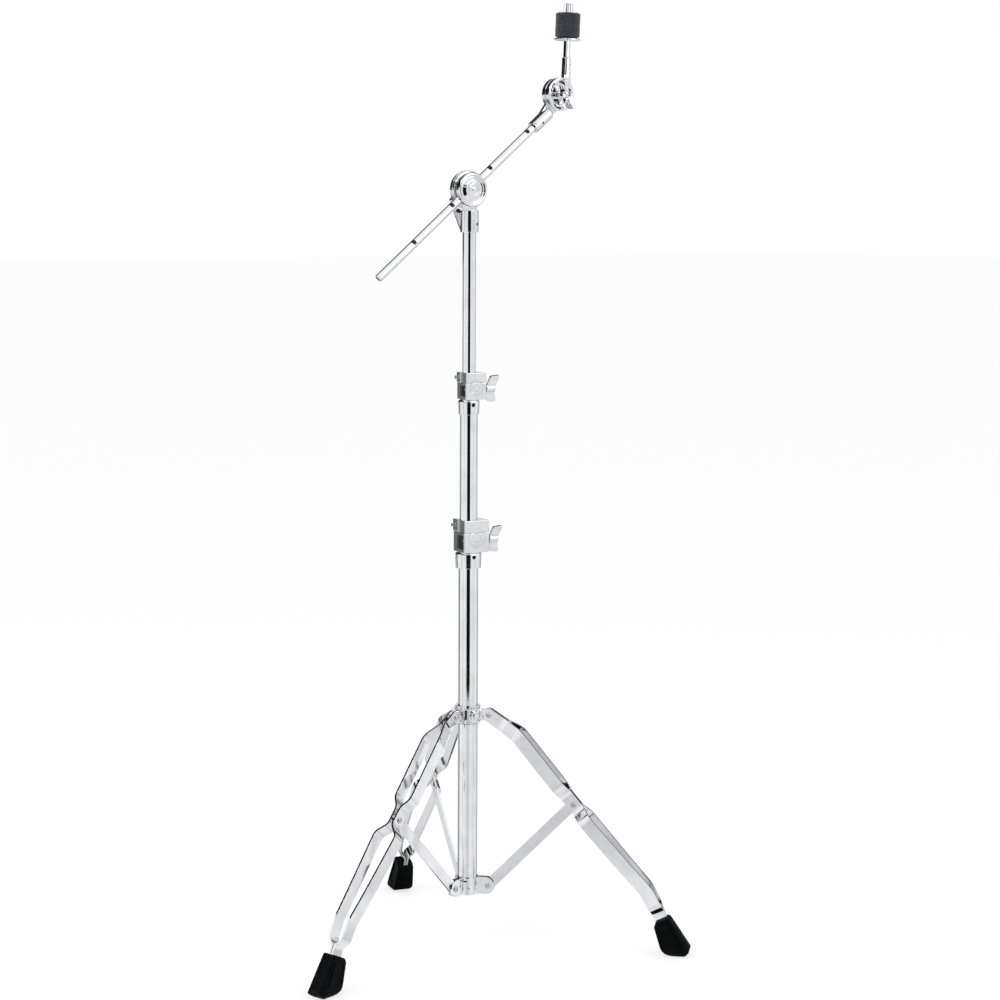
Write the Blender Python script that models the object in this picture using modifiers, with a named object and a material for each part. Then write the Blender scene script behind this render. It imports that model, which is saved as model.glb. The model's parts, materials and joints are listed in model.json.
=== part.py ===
"""Cymbal boom stand: double-braced folding tripod, two telescoping tubes with memory locks,
boom rod in a swivelling clamp, and a cymbal tilter with felts.

+Z is up and the floor is z = 0. The boom reaches along +X. The tripod's column stands off
the origin, because the origin is the centre of the whole stand's footprint.
"""
import math

import bmesh
import bpy
from mathutils import Euler, Matrix, Vector

MM = 0.001
GAP = 0.3 * MM               # left between two pieces that touch or slide
CUT = 1.0 * MM               # how far a cutter runs past a face

# ---- Column
BASE_TUBE_R = 14.3 * MM
MIDDLE_TUBE_R = 12.7 * MM
UPPER_TUBE_R = 9.525 * MM
TUBE_WALL = 1.2 * MM
BASE_TUBE_Z = (82.0 * MM, 579.5 * MM)
MIDDLE_TUBE_Z = (380.0 * MM, 798.5 * MM)
UPPER_TUBE_Z = (640.0 * MM, 1063.0 * MM)
TUBE_SIDES = 22

# ---- Tripod linkage: equal pivot radii and equal links keep the legs parallel
LEG_AZIMUTHS = (-46.5, 73.5, 193.5)
PIVOT_R = 31.5 * MM          # radius of the collar's and the lower hub's pivots
LOWER_PIVOT_Z = 90.0 * MM
LINK_LENGTH = 177.3 * MM     # brace, and leg from collar to brace
LINK_ANGLE = math.radians(44.4)   # from the vertical, as the stand is set up
BRACE_PIVOT_R = PIVOT_R + LINK_LENGTH * math.sin(LINK_ANGLE)
BRACE_PIVOT_Z = LOWER_PIVOT_Z + LINK_LENGTH * math.cos(LINK_ANGLE)
COLLAR_PIVOT_Z = LOWER_PIVOT_Z + 2 * LINK_LENGTH * math.cos(LINK_ANGLE)
PIN_R = 3.0 * MM
PIN_HOLE_R = PIN_R + GAP
RIVET_HEAD_R = 4.4 * MM
RIVET_HEAD_H = 2.2 * MM

# ---- Legs and braces
STRIP_WIDTH = 19.0 * MM
STRIP_THICKNESS = 3.0 * MM
PINCH = 3.5 * MM             # strip's middle from the leg's centre plane, at a pivot
LINK_THICKNESS = 2 * (PINCH - STRIP_THICKNESS / 2 - GAP)
BRACE_WIDTH = 15.5 * MM
UPPER_SPREAD = 14.2 * MM     # strip's middle from the centre plane, along the upper bow
LOWER_SPREAD = 19.0 * MM
FOOT_PINCH = 1.9 * MM

# ---- Rubber foot, in the leg's radial plane
FOOT_HALF_WIDTHS = [(0.0, 9.0), (4.5, 14.6), (11.0, 15.4), (56.0, 11.6)]   # height and half width in mm
FOOT_OUTLINE = [(299.0, 0.0), (318.0, 0.0), (324.8, 4.5), (327.6, 13.4), (299.6, 54.6), (292.5, 56.0),
                (276.6, 48.2), (274.4, 42.4), (284.0, 11.0), (290.0, 4.5)]   # radius and height in mm

# ---- Lower hub
HUB_Z = (78.0 * MM, 103.0 * MM)
HUB_PLATE = 2.5 * MM
HUB_PLATE_R = BASE_TUBE_R + GAP + HUB_PLATE / 2
EAR_PITCH = LINK_THICKNESS / 2 + GAP + HUB_PLATE / 2
EAR_REACH = PIVOT_R + 9.0 * MM

# ---- Leg collar
COLLAR_Z = (332.0 * MM, 357.0 * MM)
COLLAR_R = 18.2 * MM
COLLAR_SCREW_AZIMUTH = -100.0

# ---- Tube joints: a round housing, a square clamp block and a split memory lock
CLAMP_YAW = -10.5
BOLT_R = 2.4 * MM
BOLT_HEIGHT = 0.64           # of the clamp block's height
HINGE_R = 1.5 * MM
SINK = 0.1 * MM              # keeps the hinge's faces off its lugs' faces
BUSHING_WALL = 0.8 * MM
LOWER_JOINT = {
    "name": "lower",
    "outer_tube_r": BASE_TUBE_R,
    "inner_tube_r": MIDDLE_TUBE_R,
    "housing_z": 557.7 * MM,
    "block_z": 581.0 * MM,
    "split_z": 609.8 * MM,
    "top_z": 627.3 * MM,
    "housing_r": (18.3 * MM, 18.9 * MM),
    "block_x": (-16.2 * MM, 24.1 * MM),
    "block_y": (-19.0 * MM, 15.4 * MM),
    "lock_x": (-15.4 * MM, 24.1 * MM),
    "lock_y": (-19.0 * MM, 19.0 * MM),
    "screw_hole_z": 574.5 * MM,
}
UPPER_JOINT = {
    "name": "upper",
    "outer_tube_r": MIDDLE_TUBE_R,
    "inner_tube_r": UPPER_TUBE_R,
    "housing_z": 778.3 * MM,
    "block_z": 800.0 * MM,
    "split_z": 823.9 * MM,
    "top_z": 838.2 * MM,
    "housing_r": (14.5 * MM, 15.4 * MM),
    "block_x": (-12.6 * MM, 20.1 * MM),
    "block_y": (-15.9 * MM, 12.4 * MM),
    "lock_x": (-12.0 * MM, 20.1 * MM),
    "lock_y": (-15.9 * MM, 15.6 * MM),
    "screw_hole_z": 792.5 * MM,
}

# ---- Boom
BOOM_PIVOT_Z = 1096.0 * MM
BOOM_TILT = 38.1             # degrees above the horizontal
BOOM_ROD_R = 5.55 * MM
BOOM_ROD_X = (-200.0 * MM, 178.0 * MM)   # along the rod from its pivot
SOCKET_R = 13.0 * MM
SOCKET_Z = (1036.3 * MM, 1067.0 * MM)
BOOM_DISC_R = 27.0 * MM
BOOM_CAP_R = 24.6 * MM
BOOM_CAP_FACE = [(0.0, 13.0), (3.2, 13.0), (3.6, 12.3), (7.8, 12.3), (8.4, 11.4), (13.6, 11.2), (18.6, 8.2),
                 (20.6, 10.6), (23.0, 10.4), (24.6, 8.2)]   # radius and distance from the rod's axis, mm
BOOM_CLAMP_Y = 8.0 * MM      # back face of the clamp's rear half
BRACKET_DISC_Y = (8.3 * MM, 12.8 * MM)
EYE_R = 8.0 * MM
EYE_BOLT_R = 4.0 * MM

# ---- Cymbal tilter, in the boom rod's frame (x along the rod, z square to it)
TILTER_X = 210.0 * MM
TILTER_Z = 10.0 * MM
TILTER_R = 23.5 * MM
TILTER_HALF = 8.75 * MM
TILTER_BOLT_R = 3.0 * MM
LOWER_SLEEVE_R = 9.0 * MM
LOWER_SLEEVE_FLAT = 7.3 * MM   # height of the flat along its top
LOWER_SLEEVE_X = (144.0 * MM, 182.0 * MM)
CYMBAL_LEAN = 2.6            # degrees from the vertical, away from the column
CYMBAL_ROD_OFFSET = 13.0 * MM
UPPER_SLEEVE_R = 6.2 * MM
UPPER_SLEEVE_Z = (25.0 * MM, 54.0 * MM)
CYMBAL_ROD_R = 4.7 * MM
THREAD_R = 4.0 * MM
SHOULDER_Z = 81.2 * MM
CYMBAL_ROD_Z = (31.0 * MM, 131.0 * MM)
WASHER_R = 19.5 * MM
FELT_R = 18.0 * MM
FELT_HEIGHT = 16.5 * MM
SLEEVE_WALL = 1.7 * MM

PARTS = None
CUTTERS = None


# ---------------------------------------------------------------- scene and materials

def clear_scene():
    for obj in list(bpy.data.objects):
        bpy.data.objects.remove(obj, do_unlink=True)


def new_collection(name):
    collection = bpy.data.collections.new(name)
    bpy.context.scene.collection.children.link(collection)
    return collection


def new_material(name, colour, roughness, metallic=0.0):
    material = bpy.data.materials.new(name)
    material.use_nodes = True
    shader = material.node_tree.nodes["Principled BSDF"]
    shader.inputs["Base Color"].default_value = (*colour, 1.0)
    shader.inputs["Roughness"].default_value = roughness
    shader.inputs["Metallic"].default_value = metallic
    material.diffuse_color = (*colour, 1.0)
    return material


def empty(name, parent=None, at=(0, 0, 0), turn=(0, 0, 0)):
    """A frame that pieces are parented to; turn is in degrees."""
    obj = bpy.data.objects.new(name, None)
    bpy.context.scene.collection.objects.link(obj)
    obj.parent = parent
    obj.location = at
    obj.rotation_euler = Euler([math.radians(a) for a in turn])
    return obj


def add_mesh(name, mesh, material, parent, at=(0, 0, 0), turn=(0, 0, 0)):
    """A piece, or a cutter when it has no material."""
    obj = bpy.data.objects.new(name, mesh)
    obj.parent = parent
    obj.location = at
    obj.rotation_euler = Euler([math.radians(a) for a in turn])
    if material:
        mesh.materials.append(material)
        PARTS.objects.link(obj)
    else:
        obj.hide_render = True
        obj.display_type = "WIRE"
        CUTTERS.objects.link(obj)
    return obj


# ---------------------------------------------------------------- shape tools

def baked_mesh(name, source):
    """The evaluated mesh of a helper object, welded and shaded, with the helper removed."""
    bpy.context.scene.collection.objects.link(source)
    graph = bpy.context.evaluated_depsgraph_get()
    mesh = bpy.data.meshes.new_from_object(source.evaluated_get(graph))
    bpy.data.objects.remove(source, do_unlink=True)
    form = bmesh.new()
    form.from_mesh(mesh)
    bmesh.ops.remove_doubles(form, verts=form.verts, dist=1e-6)
    form.to_mesh(mesh)
    form.free()
    mesh.name = name
    mesh.shade_smooth()
    mesh.set_sharp_from_angle(angle=math.radians(35))
    return mesh


def turned_mesh(name, profile, sides, hollow):
    """A turned body. profile is (radius, height), down the outer side; hollow closes its loop."""
    count = len(profile)
    edges = [(i, i + 1) for i in range(count - 1)]
    if hollow:
        edges.append((count - 1, 0))
    outline = bpy.data.meshes.new(name + "_profile")
    outline.from_pydata([(r, 0, z) for r, z in profile], edges, [])
    source = bpy.data.objects.new(name + "_source", outline)
    screw = source.modifiers.new("Turn", "SCREW")
    screw.steps = sides
    screw.render_steps = sides
    screw.use_merge_vertices = True
    screw.merge_threshold = 0.00001
    return baked_mesh(name, source)


def turned(name, profile, material, parent, sides=24, hollow=False, **place):
    return add_mesh(name, turned_mesh(name, profile, sides, hollow), material, parent, **place)


def cylinder(name, radius, bottom, top, material, parent, sides=24, **place):
    profile = [(0, top), (radius, top), (radius, bottom), (0, bottom)]
    return turned(name, profile, material, parent, sides, **place)


def tube(name, outer, inner, bottom, top, material, parent, sides=TUBE_SIDES, **place):
    profile = [(outer, top), (outer, bottom), (inner, bottom), (inner, top)]
    return turned(name, profile, material, parent, sides, hollow=True, **place)


def box(name, x, y, z, material, parent, **place):
    """A block between the two given limits along each axis."""
    form = bmesh.new()
    bmesh.ops.create_cube(form, size=1.0)
    size = Vector((x[1] - x[0], y[1] - y[0], z[1] - z[0]))
    centre = Vector((x[0] + x[1], y[0] + y[1], z[0] + z[1])) / 2
    for vert in form.verts:
        vert.co = Vector([a * b for a, b in zip(vert.co, size)]) + centre
    mesh = bpy.data.meshes.new(name)
    form.to_mesh(mesh)
    form.free()
    return add_mesh(name, mesh, material, parent, **place)


def plate_mesh(name, outline, thickness, holes=()):
    """A flat plate in its own XY plane, with its thickness shared along Z."""
    curve = bpy.data.curves.new(name + "_outline", "CURVE")
    curve.dimensions = "2D"
    curve.fill_mode = "BOTH"
    curve.extrude = thickness / 2
    for loop in (outline, *holes):
        spline = curve.splines.new("POLY")
        spline.points.add(len(loop) - 1)
        for point, (x, y) in zip(spline.points, loop):
            point.co = (x, y, 0, 1)
        spline.use_cyclic_u = True
    return baked_mesh(name, bpy.data.objects.new(name + "_source", curve))


def plate(name, outline, thickness, material, parent, holes=(), **place):
    return add_mesh(name, plate_mesh(name, outline, thickness, holes), material, parent, **place)


def arc(centre, radius, start, end, count):
    """Points of an arc in degrees, both ends included."""
    points = []
    for i in range(count + 1):
        a = math.radians(start + (end - start) * i / count)
        points.append((centre[0] + radius * math.cos(a), centre[1] + radius * math.sin(a)))
    return points


def circle(centre, radius, count=12):
    return arc(centre, radius, 0, 360, count)[:-1]


def rounded_bar(start, end, radius):
    """Outline of a flat bar with round ends."""
    angle = math.degrees(math.atan2(end[1] - start[1], end[0] - start[0]))
    first = arc(start, radius, angle + 90, angle + 270, 6)
    return first + arc(end, radius, angle - 90, angle + 90, 6)


def boolean(target, tool, operation="DIFFERENCE"):
    modifier = target.modifiers.new(operation.title(), "BOOLEAN")
    modifier.operation = operation
    modifier.solver = "EXACT"
    modifier.object = tool


def bevel(target, width, segments=1):
    modifier = target.modifiers.new("Edges", "BEVEL")
    modifier.width = width
    modifier.segments = segments
    modifier.limit_method = "ANGLE"
    modifier.angle_limit = math.radians(40)


def eased_path(points, reach, steps=2):
    """The path with each corner rounded by a short curve that starts reach before it."""
    path = [Vector(points[0])]
    for before, corner, after in zip(points, points[1:], points[2:]):
        corner = Vector(corner)
        into = Vector(before) - corner
        out = Vector(after) - corner
        start = corner + into.normalized() * min(reach, into.length * 0.45)
        stop = corner + out.normalized() * min(reach, out.length * 0.45)
        for i in range(steps + 1):
            t = i / steps
            path.append(start * (1 - t) ** 2 + corner * 2 * t * (1 - t) + stop * t ** 2)
    path.append(Vector(points[-1]))
    return path


def ribbon_mesh(name, path, sideways, half_widths):
    """An open strip along a path; sideways gives each point's width direction."""
    verts = []
    for point, side, half in zip(path, sideways, half_widths):
        verts += [point - side * half, point + side * half]
    faces = [(2 * i, 2 * i + 1, 2 * i + 3, 2 * i + 2) for i in range(len(path) - 1)]
    mesh = bpy.data.meshes.new(name)
    mesh.from_pydata([tuple(v) for v in verts], [], faces)
    return mesh


def thicken(target, thickness):
    modifier = target.modifiers.new("Sheet", "SOLIDIFY")
    modifier.thickness = thickness
    modifier.offset = 0
    modifier.use_even_offset = True


def round_end(radius, steps=3):
    """Distances from a strip's end and half widths there, for a half-round end."""
    ends = []
    for i in range(steps):
        a = math.radians(90 * (i + 0.4) / steps)
        ends.append((radius * (1 - math.cos(a)), radius * math.sin(a)))
    return ends


# ---------------------------------------------------------------- wing nut

def wing_outline(scale):
    """Both wings of a wing nut: x along its axis away from the seat, y across."""
    half = [(1.2, 5.0), (1.6, 10.0), (4.4, 18.6), (18.5, 20.5), (17.6, 14.0), (15.4, 8.6), (14.6, 4.6)]
    upper = [(x * scale * MM, y * scale * MM) for x, y in half]
    lower = [(x, -y) for x, y in reversed(upper)]
    return upper + lower


def wing_nut(name, bore_r, material, parent, scale=1.0, roll=0, **place):
    """A wing nut seated at its own origin with its axis along +Z, its wings turned by roll.

    Without a bore radius it stays solid, as the head of a wing screw.
    """
    hub_r = 5.2 * MM * scale
    height = 14.6 * MM * scale
    neck = 1.5 * MM * scale
    solid_hub = [(0, height), (hub_r * 0.8, height), (hub_r * 0.94, height - neck), (hub_r, neck),
                 (hub_r * 1.23, 0), (0, 0)]
    nut = turned(name, solid_hub, material, parent, 16, **place)
    wings = plate(name + "_wings", wing_outline(scale), 5.0 * MM * scale, None, nut,
                  turn=(0, -90, roll))
    bevel(wings, 0.7 * MM)
    boolean(nut, wings, "UNION")
    if bore_r:
        boolean(nut, cylinder(name + "_bore", bore_r, -CUT, 30 * MM, None, nut, 12))
    return nut


# ---------------------------------------------------------------- tripod

def rivet(name, half_grip, material, parent, **place):
    """A rivet along its own Z axis with a domed head at each end."""
    seat = half_grip + GAP
    head = [(0, RIVET_HEAD_H), (0.7 * RIVET_HEAD_R, 0.76 * RIVET_HEAD_H), (RIVET_HEAD_R, 0)]
    upper = [(r, seat + h) for r, h in head]
    lower = [(r, -z) for r, z in reversed(upper)]
    return turned(name, upper + [(PIN_R, seat), (PIN_R, -seat)] + lower, material, parent, 12, **place)


def leg_path():
    """The strip's middle line as (radius, height, distance from the leg's centre plane)."""
    collar = Vector((PIVOT_R, COLLAR_PIVOT_Z))
    brace = Vector((BRACE_PIVOT_R, BRACE_PIVOT_Z))
    neck = collar + Vector((20.5, -13.8)) * MM
    knee = collar + Vector((43.0, -27.5)) * MM
    down = (brace - knee).normalized()
    ankle = Vector((232.0, 129.0)) * MM
    on = (ankle - brace).normalized()
    start = collar - (neck - collar).normalized() * STRIP_WIDTH / 2
    bow_end = brace - down * 31 * MM
    pinch_start = brace - down * 17 * MM
    pinch_end = brace + on * 12 * MM
    bow_start = brace + on * 27 * MM
    return [
        (*start, PINCH),
        (*neck, PINCH),
        (*knee, UPPER_SPREAD),
        (*bow_end, UPPER_SPREAD),
        (*pinch_start, PINCH),
        (*pinch_end, PINCH),
        (*bow_start, LOWER_SPREAD),
        (*ankle, 15.0 * MM),
        (262.0 * MM, 96.0 * MM, 12.6 * MM),
        (276.0 * MM, 70.2 * MM, 11.0 * MM),
        (279.2 * MM, 63.6 * MM, FOOT_PINCH),
        (293.0 * MM, 32.0 * MM, FOOT_PINCH),
    ]


def leg_strip(name, side, material, hinge):
    """One bent strip of a leg; side is +1 or -1 across the leg's centre plane."""
    corners = leg_path()
    path = eased_path(corners, 6.0 * MM)
    first = (path[1] - path[0]).normalized()
    ends = round_end(STRIP_WIDTH / 2)
    tip = [path[0] + first * distance for distance, half in ends]
    path = tip + path[1:]
    halves = [half for distance, half in ends] + [STRIP_WIDTH / 2] * (len(path) - len(ends))
    places = [Vector((r, side * t, z)) for r, z, t in path]
    across = []
    for i in range(len(path)):
        step = path[min(i + 1, len(path) - 1)] - path[max(i - 1, 0)]
        across.append(Vector((-step[1], 0, step[0])).normalized())
    strip = add_mesh(name, ribbon_mesh(name, places, across, halves), material, hinge)
    strip.matrix_parent_inverse = Matrix.Translation(-hinge.location)
    thicken(strip, STRIP_THICKNESS)
    return strip


def pin_hole(name, r, z, frame, half_length=20 * MM):
    return cylinder(name, PIN_HOLE_R, -half_length, half_length, None, frame, 12, at=(r, 0, z),
                    turn=(90, 0, 0))


def foot(name, material, frame, hinge):
    """A rubber foot: a wedge in the leg's plane that narrows upwards, over a rounded sole."""
    outline = [(r * MM, z * MM) for r, z in FOOT_OUTLINE]
    rubber = add_mesh(name, plate_mesh(name, outline, 60 * MM), material, hinge, turn=(90, 0, 0))
    rubber.matrix_parent_inverse = Matrix.Translation(-hinge.location)
    half = [(y * MM, z * MM) for z, y in FOOT_HALF_WIDTHS]
    section = half + [(-y, z) for y, z in reversed(half)]
    slab = plate(name + "_section", section, 90 * MM, None, frame, at=(300 * MM, 0, 0), turn=(90, 0, 90))
    boolean(rubber, slab, "INTERSECT")
    bevel(rubber, 1.4 * MM)
    top, end = leg_path()[-2:]
    slope = math.degrees(math.atan2(top[1] - end[1], end[0] - top[0]))
    reach = STRIP_THICKNESS / 2 + FOOT_PINCH + GAP
    half_width = STRIP_WIDTH / 2 + GAP
    pocket = box(name + "_pocket", (-60 * MM, GAP), (-reach, reach), (-half_width, half_width), None, frame,
                 at=(end[0], 0, end[1]), turn=(0, slope, 0))
    boolean(rubber, pocket)
    return rubber


def hub_plate(name, first, material, parent):
    """One stamped plate of the lower hub, from one leg's azimuth round to the next."""
    corner = math.degrees(math.asin(EAR_PITCH / HUB_PLATE_R))
    start = math.radians(first)
    stop = math.radians(first + 120)
    wrap = arc((0, 0), HUB_PLATE_R, first + corner, first + 120 - corner, 7)
    ear_a = Vector((math.cos(start), math.sin(start)))
    ear_b = Vector((math.cos(stop), math.sin(stop)))
    tip_a = ear_a * EAR_REACH + Vector((-ear_a.y, ear_a.x)) * EAR_PITCH
    tip_b = ear_b * EAR_REACH - Vector((-ear_b.y, ear_b.x)) * EAR_PITCH
    middle = sum(HUB_Z) / 2
    half = (HUB_Z[1] - HUB_Z[0]) / 2
    ends = round_end(half, 3)
    path = [tip_a - ear_a * d for d, h in ends] + [Vector(p) for p in wrap]
    path += [tip_b - ear_b * d for d, h in reversed(ends)]
    halves = [h for d, h in ends] + [half] * len(wrap) + [h for d, h in reversed(ends)]
    places = [Vector((p.x, p.y, middle)) for p in path]
    up = [Vector((0, 0, 1))] * len(path)
    sheet = add_mesh(name, ribbon_mesh(name, places, up, halves), material, parent)
    thicken(sheet, HUB_PLATE)
    return sheet


def collar(material, parent):
    """The sliding leg collar: a flanged ring with a tongue for each leg and a screw boss."""
    inner = BASE_TUBE_R + GAP
    low, high = COLLAR_Z
    ring = [(COLLAR_R, high), (COLLAR_R, high - 2 * MM), (COLLAR_R - MM, high - 3 * MM),
            (COLLAR_R - MM, low + 3 * MM), (COLLAR_R, low + 2 * MM), (COLLAR_R, low), (inner, low),
            (inner, high)]
    body = turned("leg_collar", ring, material, parent, TUBE_SIDES, hollow=True)
    for number, azimuth in enumerate(LEG_AZIMUTHS, 1):
        frame = empty(f"collar_tongue_frame_{number}", parent, turn=(0, 0, azimuth))
        root = [(BASE_TUBE_R + MM, COLLAR_PIVOT_Z - 9 * MM), (BASE_TUBE_R + MM, COLLAR_PIVOT_Z + 9 * MM)]
        nose = arc((PIVOT_R, COLLAR_PIVOT_Z), 7.5 * MM, 80, -80, 6)
        hole = circle((PIVOT_R, COLLAR_PIVOT_Z), PIN_HOLE_R)
        tongue = plate(f"collar_tongue_{number}", root + nose, LINK_THICKNESS, None, frame, holes=[hole],
                       turn=(90, 0, 0))
        boolean(body, tongue, "UNION")
    screw_frame = empty("collar_screw_frame", parent, turn=(0, 0, COLLAR_SCREW_AZIMUTH))
    height = sum(COLLAR_Z) / 2
    boss = cylinder("collar_boss", 6.0 * MM, BASE_TUBE_R + 1.2 * MM, 24.0 * MM, None, screw_frame, 12,
                    at=(0, 0, height), turn=(0, 90, 0))
    boolean(body, boss, "UNION")
    thread = cylinder("collar_thread", 3.3 * MM, BASE_TUBE_R - CUT, 26.0 * MM, None, screw_frame, 12,
                      at=(0, 0, height), turn=(0, 90, 0))
    boolean(body, thread)
    return screw_frame, height


def collar_screw(frame, height, material):
    """The collar's wing screw, turned so that its wings stand up and down."""
    seat = 24.3 * MM
    head = wing_nut("collar_wing_screw", None, material, frame, 0.72, 90, at=(seat, 0, height),
                    turn=(0, 90, 0))
    shank = cylinder("collar_wing_screw_shank", 3.0 * MM, BASE_TUBE_R + GAP - seat, 2 * MM, None, head, 12)
    boolean(head, shank, "UNION")


def tripod(stand, chrome, rubber, steel):
    tube("base_tube", BASE_TUBE_R, BASE_TUBE_R - TUBE_WALL, *BASE_TUBE_Z, chrome, stand)
    plug_r = BASE_TUBE_R - TUBE_WALL - GAP
    plug = [(0, BASE_TUBE_Z[0] + 8 * MM), (plug_r, BASE_TUBE_Z[0] + 8 * MM), (plug_r, BASE_TUBE_Z[0] - GAP),
            (BASE_TUBE_R, BASE_TUBE_Z[0] - GAP), (BASE_TUBE_R - MM, BASE_TUBE_Z[0] - 3 * MM),
            (0, BASE_TUBE_Z[0] - 3 * MM)]
    turned("tube_end_plug", plug, rubber, stand, TUBE_SIDES)
    screw_frame, height = collar(chrome, stand)
    collar_screw(screw_frame, height, chrome)
    plates = [hub_plate(f"lower_hub_plate_{number}", azimuth, chrome, stand)
              for number, azimuth in enumerate(LEG_AZIMUTHS, 1)]
    for number, azimuth in enumerate(LEG_AZIMUTHS, 1):
        frame = empty(f"leg_frame_{number}", stand, turn=(0, 0, azimuth))
        brace_hinge = empty(f"brace_hinge_{number}", frame, at=(PIVOT_R, 0, LOWER_PIVOT_Z))
        leg_hinge = empty(f"leg_hinge_{number}", frame, at=(BRACE_PIVOT_R, 0, BRACE_PIVOT_Z))
        lower = (0, 0)
        upper = (BRACE_PIVOT_R - PIVOT_R, BRACE_PIVOT_Z - LOWER_PIVOT_Z)
        holes = [circle(lower, PIN_HOLE_R), circle(upper, PIN_HOLE_R)]
        plate(f"brace_{number}", rounded_bar(lower, upper, BRACE_WIDTH / 2), LINK_THICKNESS, chrome,
              brace_hinge, holes=holes, turn=(90, 0, 0))
        brace_hole = pin_hole(f"brace_pin_hole_{number}", BRACE_PIVOT_R, BRACE_PIVOT_Z, frame)
        collar_hole = pin_hole(f"collar_pin_hole_{number}", PIVOT_R, COLLAR_PIVOT_Z, frame)
        for letter, side in (("a", 1), ("b", -1)):
            strip = leg_strip(f"leg_{number}_strip_{letter}", side, chrome, leg_hinge)
            boolean(strip, brace_hole)
            boolean(strip, collar_hole)
        foot(f"rubber_foot_{number}", rubber, frame, leg_hinge)
        hub_hole = pin_hole(f"hub_pin_hole_{number}", PIVOT_R, LOWER_PIVOT_Z, frame, 7 * MM)
        boolean(plates[number - 1], hub_hole)
        boolean(plates[number - 2], hub_hole)
        strip_grip = PINCH + STRIP_THICKNESS / 2
        hub_grip = EAR_PITCH + HUB_PLATE / 2
        across = (90, 0, 0)
        rivet(f"brace_rivet_{number}", strip_grip, steel, frame, at=(BRACE_PIVOT_R, 0, BRACE_PIVOT_Z),
              turn=across)
        rivet(f"collar_rivet_{number}", strip_grip, steel, frame, at=(PIVOT_R, 0, COLLAR_PIVOT_Z),
              turn=across)
        rivet(f"hub_rivet_{number}", hub_grip, steel, frame, at=(PIVOT_R, 0, LOWER_PIVOT_Z), turn=across)


# ---------------------------------------------------------------- tube joints

def housing(joint, frame, material):
    """The cast housing: a round collar on the outer tube under a square clamp block."""
    name = joint["name"]
    bottom_r, top_r = joint["housing_r"]
    low = joint["housing_z"]
    base = joint["block_z"]
    outer = joint["outer_tube_r"] + GAP
    inner = joint["inner_tube_r"] + GAP + BUSHING_WALL + GAP
    body = box(f"{name}_clamp_housing", joint["block_x"], joint["block_y"], (base, joint["split_z"] - GAP),
               material, frame)
    bevel(body, 0.8 * MM)
    shoulder = 5.0 * MM
    round_top = [(top_r - shoulder + r, base - shoulder + z + 0.4 * MM)
                 for r, z in arc((0, 0), shoulder, 78, 10, 3)]
    profile = [(0, base + MM), (top_r - shoulder, base + MM)] + round_top + [(bottom_r, low), (0, low)]
    skirt = turned(f"{name}_housing_skirt", profile, None, frame, TUBE_SIDES)
    boolean(body, skirt, "UNION")
    step = base - 1.2 * MM
    bore = [(0, joint["split_z"] + CUT), (inner, joint["split_z"] + CUT), (inner, step), (outer, step),
            (outer, low - CUT), (0, low - CUT)]
    boolean(body, turned(f"{name}_housing_bore", bore, None, frame, TUBE_SIDES))
    hole = cylinder(f"{name}_set_screw_hole", 3.0 * MM, joint["outer_tube_r"] - CUT, top_r + CUT, None, frame,
                    12, at=(0, 0, joint["screw_hole_z"]), turn=(90, 0, 0))
    boolean(body, hole)
    return body


def clamp_fittings(joint, frame, body, chrome, nylon, steel):
    """The bushing, the draw bolt in front of the tube, and the wing nut on its end."""
    name = joint["name"]
    tube_r = joint["inner_tube_r"] + GAP
    bolt_y = -(tube_r + BOLT_R)
    bolt_z = joint["block_z"] + BOLT_HEIGHT * (joint["split_z"] - joint["block_z"])
    left, right = joint["block_x"]
    bolt_hole = cylinder(f"{name}_bolt_hole", BOLT_R + GAP, -60 * MM, 60 * MM, None, frame, 12,
                         at=(0, bolt_y, bolt_z), turn=(0, 90, 0))
    boolean(body, bolt_hole)
    pocket_z = (joint["block_z"] + 4.5 * MM, joint["split_z"] - 4.0 * MM)
    front, back = joint["block_y"]
    pocket_y = (front + 0.8 * MM, front + 0.62 * (back - front))
    pocket = box(f"{name}_head_pocket", (left - CUT, left + 1.6 * MM), pocket_y, pocket_z, None, frame)
    boolean(body, pocket)
    bushing = tube(f"{name}_bushing", tube_r + BUSHING_WALL, tube_r, joint["block_z"] - 0.8 * MM,
                   joint["split_z"] - MM, nylon, frame)
    notch = box(f"{name}_bushing_notch", (-12 * MM, 12 * MM), (bolt_y - 4 * MM, bolt_y + BOLT_R + 1.0 * MM),
                (bolt_z - BOLT_R - GAP, bolt_z + BOLT_R + GAP), None, frame)
    boolean(bushing, notch)
    nut_reach = 14.0 * MM
    tail = left + 0.5 * MM
    bolt = [(0, right + nut_reach), (BOLT_R * 0.8, right + nut_reach), (BOLT_R, right + nut_reach - MM),
            (BOLT_R, tail + 0.4 * MM), (BOLT_R * 0.8, tail), (0, tail)]
    turned(f"{name}_draw_bolt", bolt, steel, frame, 12, at=(0, bolt_y, bolt_z), turn=(0, 90, 0))
    wing_nut(f"{name}_wing_nut", BOLT_R + GAP, chrome, frame, roll=110,
             at=(right + GAP, bolt_y, bolt_z), turn=(0, 90, 0))


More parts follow.
